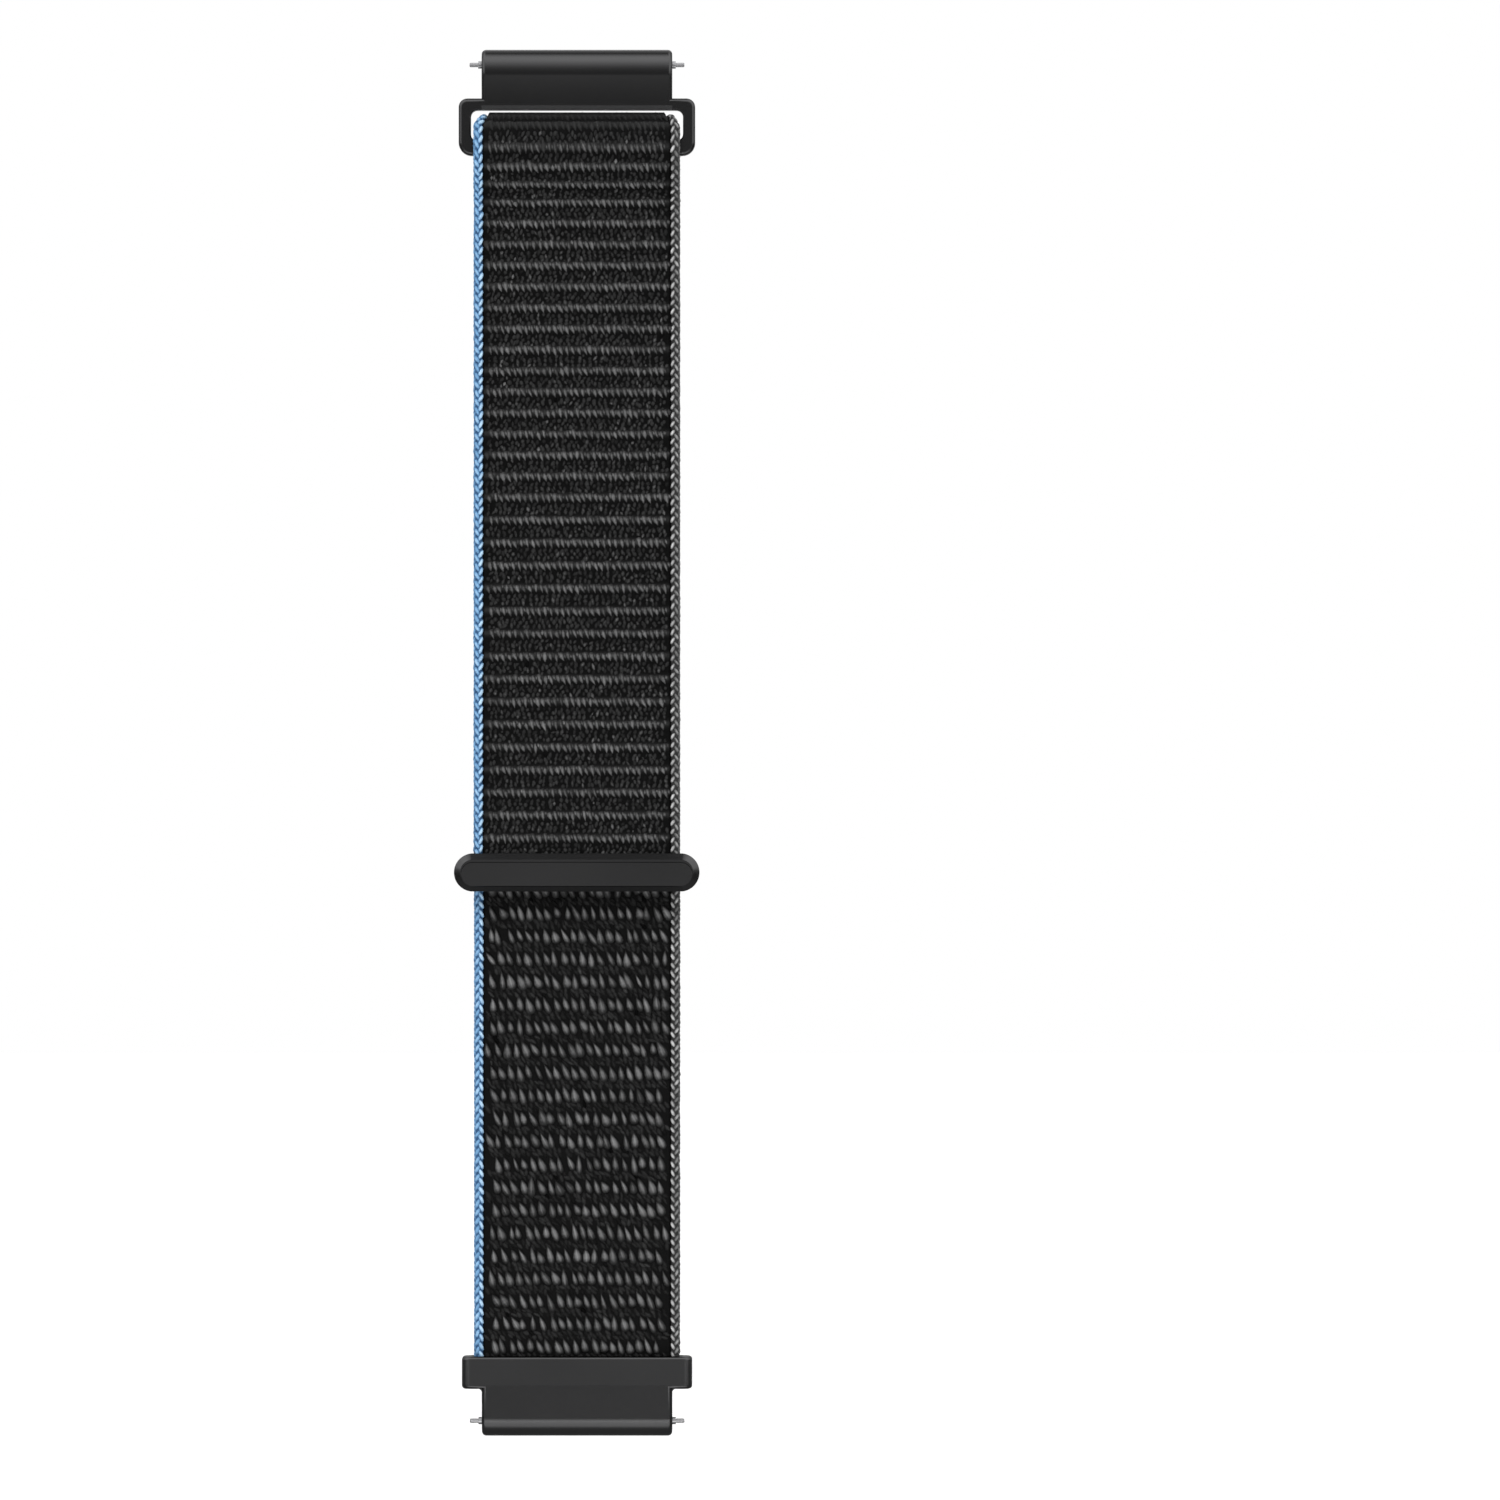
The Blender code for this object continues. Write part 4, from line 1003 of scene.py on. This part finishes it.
WING_CORNER_R = 1.15 * MM
WING_EDGE_ROUND = 0.4 * MM
WING_HEIGHT = 3.75 * MM
WING_DEPTH = 4.2 * MM
WEB_BEYOND_WING = 0.004 * MM
WEB_IN_WING = 0.02 * MM
CHANNEL_HALF = 12.2 * MM
CHANNEL_R = 1.45 * MM
CHANNEL_DROP = 1.8 * MM
MOUTH_HALF = 1.17 * MM
ROD_HOLE_R = 0.5 * MM
BLOCK_FILLET = 0.45 * MM
FILLET_HALF_DEPTH = 1.3 * MM
FILLET_LAP = 0.6 * MM
LOWER_BAR_Z = FIXED_LOW.z + BARREL_R


def make_fixed_adapter():
    """The lower adapter: wings with a channel for the sewn end, and the block for the lower bar."""
    top, low = FIXED_HIGH.z, FIXED_HIGH.z - WING_HEIGHT
    obj = box_between("wings", (FIXED_LOW.x, LAYER_Y - WING_DEPTH / 2, low),
                      (FIXED_HIGH.x, LAYER_Y + WING_DEPTH / 2, top))
    edit(obj)
    pick(obj, "EDGE", lambda e: extent(e, 2) > MM)
    bevel(WING_CORNER_R, 8)
    pick(obj, "EDGE", lambda e: extent(e, 2) < TINY)
    bevel(WING_EDGE_ROUND, 5)
    leave_edit()
    block = lug_block("block", LAYER_Y, LOWER_BAR_Z, low + WING_EDGE_ROUND + WEB_IN_WING,
                      WING_DEPTH / 2 + WEB_BEYOND_WING, LOWER_STRETCH, -1)
    cut_bar_seat(block, LAYER_Y, LOWER_BAR_Z)
    carve(obj, block, "UNION")
    for side in (-1, 1):
        hollow_x = side * (LUG_HALF + BLOCK_FILLET)
        start, end = sorted((side * (LUG_HALF - FILLET_LAP), hollow_x))
        corner = box_between("fillet", (start, LAYER_Y - FILLET_HALF_DEPTH, low - BLOCK_FILLET),
                             (end, LAYER_Y + FILLET_HALF_DEPTH, low + FILLET_LAP))
        carve(corner, cylinder("hollow", BLOCK_FILLET, 4 * MM, (hollow_x, LAYER_Y, low - BLOCK_FILLET),
                               (math.pi / 2, 0), 48))
        carve(obj, corner, "UNION")
    channel_z = top - CHANNEL_DROP
    carve(obj, round_rod("seat", CHANNEL_R, -CHANNEL_HALF, CHANNEL_HALF, LAYER_Y, channel_z))
    carve(obj, box_between("mouth", (-CHANNEL_HALF, LAYER_Y - MOUTH_HALF, channel_z),
                           (CHANNEL_HALF, LAYER_Y + MOUTH_HALF, top + BEYOND)))
    carve(obj, round_rod("rod_hole", ROD_HOLE_R, FIXED_LOW.x - BEYOND, FIXED_HIGH.x + BEYOND, LAYER_Y,
                         channel_z))
    smooth_metal(obj)
    obj.name = "fixed_adapter_body"
    paint(obj, COATED_METAL)
    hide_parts("fixed_adapter")
    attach(obj, "strap_8")


BAR_FRONT_Y = -3.3 * MM
BAR_PARTING = 0.05 * MM
BAR_POCKET_PLAY = 0.15 * MM
BAR_POCKET_FLOOR = 0.7 * MM
BAR_FRONT_BEVEL = 0.7 * MM
BAR_BACK_BEVEL = 0.3 * MM
BAR_PANEL_MARGIN = 0.78 * MM
BAR_PANEL_RISE = 0.12 * MM
BAR_PANEL_DROP = 0.2 * MM


def pill_plate(name, low, high, front, back):
    """An upright plate with half-round ends."""
    centre = ((low.x + high.x) / 2, (front + back) / 2, (low.z + high.z) / 2)
    obj = cylinder(name, (high.z - low.z) / 2, back - front, centre, (math.pi / 2, 0), 62)
    stretch = (high.x - low.x) / 2 - max(v.co.x for v in obj.data.vertices)
    edit(obj)
    for side in (-1, 1):
        pick(obj, "VERT", lambda v, way=side: v.co.x * way > 0)
        bpy.ops.transform.translate(value=(side * stretch, 0, 0))
    leave_edit()
    return obj


def dress_bar_face(obj, face_y, outward, edge):
    """Rounds the outer edge of an end bar's half and raises the long panel on its face."""
    edit(obj)
    pick(obj, "EDGE", lambda e: all(abs(v.co.y - face_y) < TINY for v in e.verts))
    bevel(edge, 1, clamp=True)
    pick(obj, "FACE", lambda f: f.normal.y * outward > 0.99
         and abs(f.calc_center_median().y - face_y) < TINY)
    bpy.ops.mesh.inset(thickness=max(BAR_PANEL_MARGIN - edge, 0.05 * MM))
    bpy.ops.transform.translate(value=(0, 0, -BAR_PANEL_DROP))
    bpy.ops.mesh.inset(thickness=BAR_PANEL_RISE * 0.6, depth=BAR_PANEL_RISE)
    leave_edit()


def make_end_bar():
    """The flap's end bar: a cover in front and a clamp behind, closed on the flap's end."""
    cover = pill_plate("end_bar_front", COVER_LOW, COVER_HIGH, BAR_FRONT_Y, COVER_HIGH.y)
    dress_bar_face(cover, BAR_FRONT_Y, -1, BAR_FRONT_BEVEL)
    pocket_half = FIELD_HALF + BAR_POCKET_PLAY
    carve(cover, box_between("pocket", (-pocket_half, BAR_FRONT_Y + MM, COVER_LOW.z + BAR_POCKET_FLOOR),
                             (pocket_half, COVER_HIGH.y + BEYOND, COVER_HIGH.z + BEYOND)))
    back_y = CLAMP_HIGH.y - BAR_PANEL_RISE
    clamp = pill_plate("end_bar_back", CLAMP_LOW, CLAMP_HIGH, COVER_HIGH.y + BAR_PARTING, back_y)
    dress_bar_face(clamp, back_y, 1, BAR_BACK_BEVEL)
    for obj, node in ((cover, "end_bar_cover"), (clamp, "end_bar_clamp")):
        smooth_metal(obj)
        paint(obj, COATED_METAL)
        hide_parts(node)
        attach(obj, "flap_5")


STEEL_PIECES = ("bar_tube", "bar_spring", "bar_pin", "knob", "rod")


def finish_steel():
    """The spring bars and the retaining rod keep their solids and get bare steel."""
    for name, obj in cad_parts.items():
        if any(piece in name for piece in STEEL_PIECES):
            paint(obj, SPRING_STEEL)


def make_coils():
    """The springs inside the bars, as steel pieces of their own."""
    for node, joint, body in (("ring_bar_spring", "ring_pin_slide", "root"),
                              ("fixed_bar_spring", "fixed_pin_slide", "strap_8")):
        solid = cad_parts[node]
        mesh = solid.data.copy()
        mesh.transform(solid.matrix_world)
        coil = put(f"{node}_coil", mesh)
        paint(coil, SPRING_STEEL)
        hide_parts(node)
        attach(coil, body)
        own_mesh(coil)


# Hook tape and patches


HOOK_DASH = lens_unit("hook_dash", 6, 4, (1.2, 1.0, 1.2))
TAPE_FACE = 0.6 * MM
TAPE_FOOT = 0.15 * MM
TAPE_HALF = FIELD_HALF - 0.22 * MM
TAPE_EDGE_ROUND = 0.12 * MM
PATCH_FACE = 0.95 * MM
PLATE_DROP = 0.15 * MM
PATCH_R = 3.2 * MM
PATCH_HALF_WIDTH = FIELD_HALF - 0.37 * MM
PATCH_STRAIGHT = PATCH_HALF_WIDTH - PATCH_R
DASH_PITCH_X = 1.035 * MM
DASH_PITCH_Z = 0.89 * MM
DASH = (1.03 * MM, 0.42 * MM, 0.24 * MM)
DASH_TONE = (0.74, 0.05)
DASH_MARGIN = 0.45 * MM
STRIP_DROP = 0.13 * MM
STRIP_DASH = (0.98 * MM, 0.36 * MM, 0.22 * MM)


def make_tape():
    """The grey tape along the flap's inner face, in lengths."""
    cut, last_cut = STRAP_CUTS[2:4]
    lengths = [(TAPE_TOP_Z, cut, ["hook_tape_1"]), (cut, last_cut, ["hook_tape_2", "hook_tape_3"]),
               (last_cut, BAR_MOUTH_Z + 0.1 * MM, ["hook_tape_4"])]
    for number, ((high, low, nodes), bend) in enumerate(zip(lengths, TAPED_BENDS), 1):
        obj = box_between(f"tape_{number}", (-TAPE_HALF, -LAYER_Y + TAPE_FOOT, low),
                          (TAPE_HALF, -LAYER_Y + TAPE_FACE, high))
        edit(obj, "EDGE")
        pick(obj, "EDGE", lambda e: extent(e, 2) > MM)
        bevel(TAPE_EDGE_ROUND, 3)
        for z in np.arange(high - MM, low, -MM):
            select_all()
            bpy.ops.mesh.bisect(plane_co=(0, 0, z), plane_no=(0, 0, 1))
        leave_edit()
        smooth_metal(obj)
        paint(obj, TAPE_CLOTH)
        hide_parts(*nodes)
        bends(*bend)(obj)


def add_plate(yarns, centre_s):
    """The thin plate of a patch, with half-round ends."""
    levels = np.linspace(-1, 1, 17)
    reach = PATCH_STRAIGHT + np.maximum(PATCH_R * np.sqrt(np.maximum(0, 1 - levels ** 2)), 0.1 * MM)
    face, foot = PLATE_DROP - PATCH_FACE, 0.1 * MM - TAPE_FACE
    rings = []
    for s, half in zip(centre_s + levels * PATCH_R, reach):
        across = np.linspace(-half, half, 9)
        rings.append([(x, s, foot) for x in across] + [(x, s, face) for x in across[::-1]])
    yarns.add_tube(np.array(rings), 0.1)


def make_patch(number, centre, fix):
    """One patch of hooks: a plate set with short dashes in brick fashion, and a light strip above it."""
    yarns = Yarns()
    centre_s = flap_s(centre)
    add_plate(yarns, centre_s)
    places = []
    for column in range(-10, 11):
        for row in range(-4, 5):
            x, s = column * DASH_PITCH_X, (row + 0.5 * (column % 2)) * DASH_PITCH_Z
            reach = PATCH_STRAIGHT + math.sqrt(max(0, PATCH_R ** 2 - s ** 2)) - DASH_MARGIN
            if abs(x) < reach and abs(s) < PATCH_R - 0.3 * MM:
                places.append((x, centre_s + s))
    x, s = np.array(places).T
    yarns.add(*HOOK_DASH.copies(x, s, PATCH_FACE - 0.2 * MM, -1, *DASH, math.pi / 2,
                                rng.normal(*DASH_TONE, len(x)), root=0.25))
    x = np.arange(-3, 4) * 2 * DASH_PITCH_X
    s = np.full(len(x), flap_s(centre - PATCH_R - STRIP_DROP))
    yarns.add(*HOOK_DASH.copies(x, s, TAPE_FACE - 0.05 * MM, -1, *STRIP_DASH, math.pi / 2, 1.3, root=0.7))
    obj = yarns.piece(f"patch_{number}", HOOK_PLASTIC)
    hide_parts(f"hook_patch_{number}")
    fix(obj)


def make_patches():
    """The five patches: one on the tape's first length, and two on each of the others."""
    for number, length in enumerate((0, 1, 1, 2, 2), 1):
        low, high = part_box(f"hook_patch_{number}")
        make_patch(number, (low.z + high.z) / 2, bends(*TAPED_BENDS[length]))


BEAD_R = 1.28 * MM
BEAD_RISE = 1.3 * MM
BEAD_HALF = BAND_WIDTH / 2 - 0.1 * MM


def make_sewn_end():
    """The bead at the band's end, sewn round the retaining rod inside the channel."""
    bead_z = LAST_LOW_Z + BEAD_RISE
    bead = round_rod("sewn_bead", BEAD_R, -BEAD_HALF, BEAD_HALF, LAYER_Y, bead_z)
    carve(bead, round_rod("tunnel", ROD_HOLE_R, -BAND_WIDTH, BAND_WIDTH, LAYER_Y, bead_z))
    smooth_metal(bead)
    places = np.array([v.co for v in bead.data.vertices]) / MM
    set_yarn_values(bead.data, np.full(len(places), 0.3), places)
    paint(bead, BLACK_YARN)
    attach(bead, "strap_8")


# Stage, light and camera


PHOTO_SCALE = 0.1155 * MM
PHOTO_SIZE = 1500
ORIGIN_X_PX = 577
ORIGIN_Y_PX = 65
LENS = 300.0
SENSOR = 36.0
FLOOR_Z = -0.6
FLOOR_SIZE = 40

# How bright the room looks in the metal: (height of the direction, strength), from the floor to the ceiling
ROOM_PEAK = 7.0
ROOM_BANDS = [(-1.0, 0.6), (-0.95, 1.2), (-0.8, 2.4), (-0.6, 3.4), (-0.4, 2.8), (-0.26, 0.85), (0.12, 0.9),
              (0.3, 1.8), (0.5, 4.1), (0.72, 6.8), (0.88, 7.0), (0.97, 4.4), (1.0, 0.4)]
SIDE_LEVEL = 6.0
SIDE_END_SHARE = 0.1
BEHIND_SHARE = 0.45
ROOM_FILL = 0.55


def ease_in(tree, value, start, end, low, high):
    """Runs smoothly from low to high while the value goes from start to end."""
    inputs = {"Value": value, "From Min": start, "From Max": end, "To Min": low, "To Max": high}
    return node_in(tree, "ShaderNodeMapRange", inputs, interpolation_type="SMOOTHSTEP").outputs["Result"]


def white_world():
    """White for the camera, an even fill for the cloth, and bright bands that only mirrors show."""
    world = bpy.data.worlds.new("white_room")
    bpy.context.scene.world = world
    world.use_nodes = True
    tree = world.node_tree
    path = node_in(tree, "ShaderNodeLightPath").outputs
    direction = node_in(tree, "ShaderNodeTexCoord").outputs["Generated"]
    split = node_in(tree, "ShaderNodeSeparateXYZ", {0: direction}).outputs
    height = math_in(tree, "ADD", math_in(tree, "MULTIPLY", split["Z"], 0.5), 0.5)
    bands = node_in(tree, "ShaderNodeValToRGB", {"Fac": height})
    ramp = bands.color_ramp
    ramp.interpolation = "EASE"
    for place, _ in ROOM_BANDS[1:-1]:
        ramp.elements.new((place + 1) / 2)
    for stop, (_, value) in zip(ramp.elements, ROOM_BANDS):
        stop.color = (value / ROOM_PEAK,) * 3 + (1,)
    sideways = math_in(tree, "ABSOLUTE", split["X"], 0)
    aside = ease_in(tree, sideways, 0.3, 0.75, 0.0, SIDE_LEVEL)
    aside = math_in(tree, "MULTIPLY", aside, ease_in(tree, sideways, 0.95, 1.0, 1.0, SIDE_END_SHARE))
    behind = ease_in(tree, split["Y"], -0.1, 0.5, 1.0, BEHIND_SHARE)
    mirrored = math_in(tree, "MAXIMUM", path["Is Glossy Ray"], path["Is Transmission Ray"])
    shown = math_in(tree, "MAXIMUM", math_in(tree, "MULTIPLY", bands.outputs["Color"], ROOM_PEAK), aside)
    shown = math_in(tree, "MULTIPLY", mirrored, math_in(tree, "MULTIPLY", shown, behind))
    fill = math_in(tree, "MULTIPLY", math_in(tree, "SUBTRACT", 1.0, mirrored), ROOM_FILL)
    strength = math_in(tree, "MAXIMUM", path["Is Camera Ray"], math_in(tree, "ADD", shown, fill))
    feed(tree, tree.nodes["Background"], {"Color": (1, 1, 1, 1), "Strength": strength})


def pale_floor():
    bpy.ops.mesh.primitive_plane_add(size=FLOOR_SIZE, location=(0, 0, FLOOR_Z))
    floor = added("floor")
    material, tree, shader = new_material("pale_floor", 0.9, specular=0.1)
    path = node_in(tree, "ShaderNodeLightPath").outputs
    glow = math_in(tree, "MULTIPLY", path["Is Camera Ray"], 0.5)
    feed(tree, shader, {"Base Color": (0.86, 0.86, 0.86, 1), "Emission Color": (1, 1, 1, 1),
                        "Emission Strength": glow})
    paint(floor, material)


def soft_light(name, place, target, size, power, mirrored=True, on_cloth=True):
    light = bpy.data.lights.new(name, "AREA")
    light.shape = "RECTANGLE"
    light.size, light.size_y = size
    light.energy = power
    obj = put(name, light)
    obj.location = place
    direction = obj.location - Vector(target)
    obj.rotation_euler = direction.to_track_quat("Z", "Y").to_euler()
    obj.visible_camera = False
    obj.visible_glossy = mirrored
    obj.visible_diffuse = on_cloth


def make_stage():
    white_world()
    pale_floor()
    middle = (0, 0, -0.08)
    soft_light("front_top", (-0.15, -0.95, 0.75), middle, (1.0, 0.6), 8.7, mirrored=False)
    soft_light("low_panel", (0.0, -0.35, -0.1525), (0, 0, -0.1525), (0.7, 0.125), 0.43)
    soft_light("lip_strip", (0.0, -0.34, -0.32), (0, 0, -0.2), (0.7, 0.05), 0.9, on_cloth=False)
    soft_light("low_strip", (0.0, -0.2, -0.33), (0, 0, -0.157), (0.7, 0.13), 1.3, on_cloth=False)
    soft_light("back_fill", (0.3, 1.1, 0.6), middle, (1.0, 0.8), 5.0, mirrored=False)
    soft_light("back_panel", (0.0, 0.8, 0.75), middle, (1.2, 0.5), 5.0)


def make_camera():
    data = bpy.data.cameras.new("photo_camera")
    data.lens = LENS
    data.sensor_width = SENSOR
    data.clip_start, data.clip_end = 0.01, 50
    camera = put("photo_camera", data)
    frame_side = PHOTO_SIZE * PHOTO_SCALE
    distance = frame_side / SENSOR * LENS
    x = (PHOTO_SIZE / 2 - ORIGIN_X_PX) * PHOTO_SCALE
    z = (ORIGIN_Y_PX - PHOTO_SIZE / 2) * PHOTO_SCALE
    camera.location = (x, -distance, z)
    camera.rotation_euler = (math.pi / 2, 0, 0)
    bpy.context.scene.camera = camera


make_camera()
make_stage()
bpy.context.scene.view_settings.view_transform = "Standard"
clear_selection()
make_ring_adapter()
make_fixed_adapter()
make_end_bar()
finish_steel()
make_coils()
make_fold()
make_back_layer()
make_flap()
make_tape()
make_patches()
make_sewn_end()
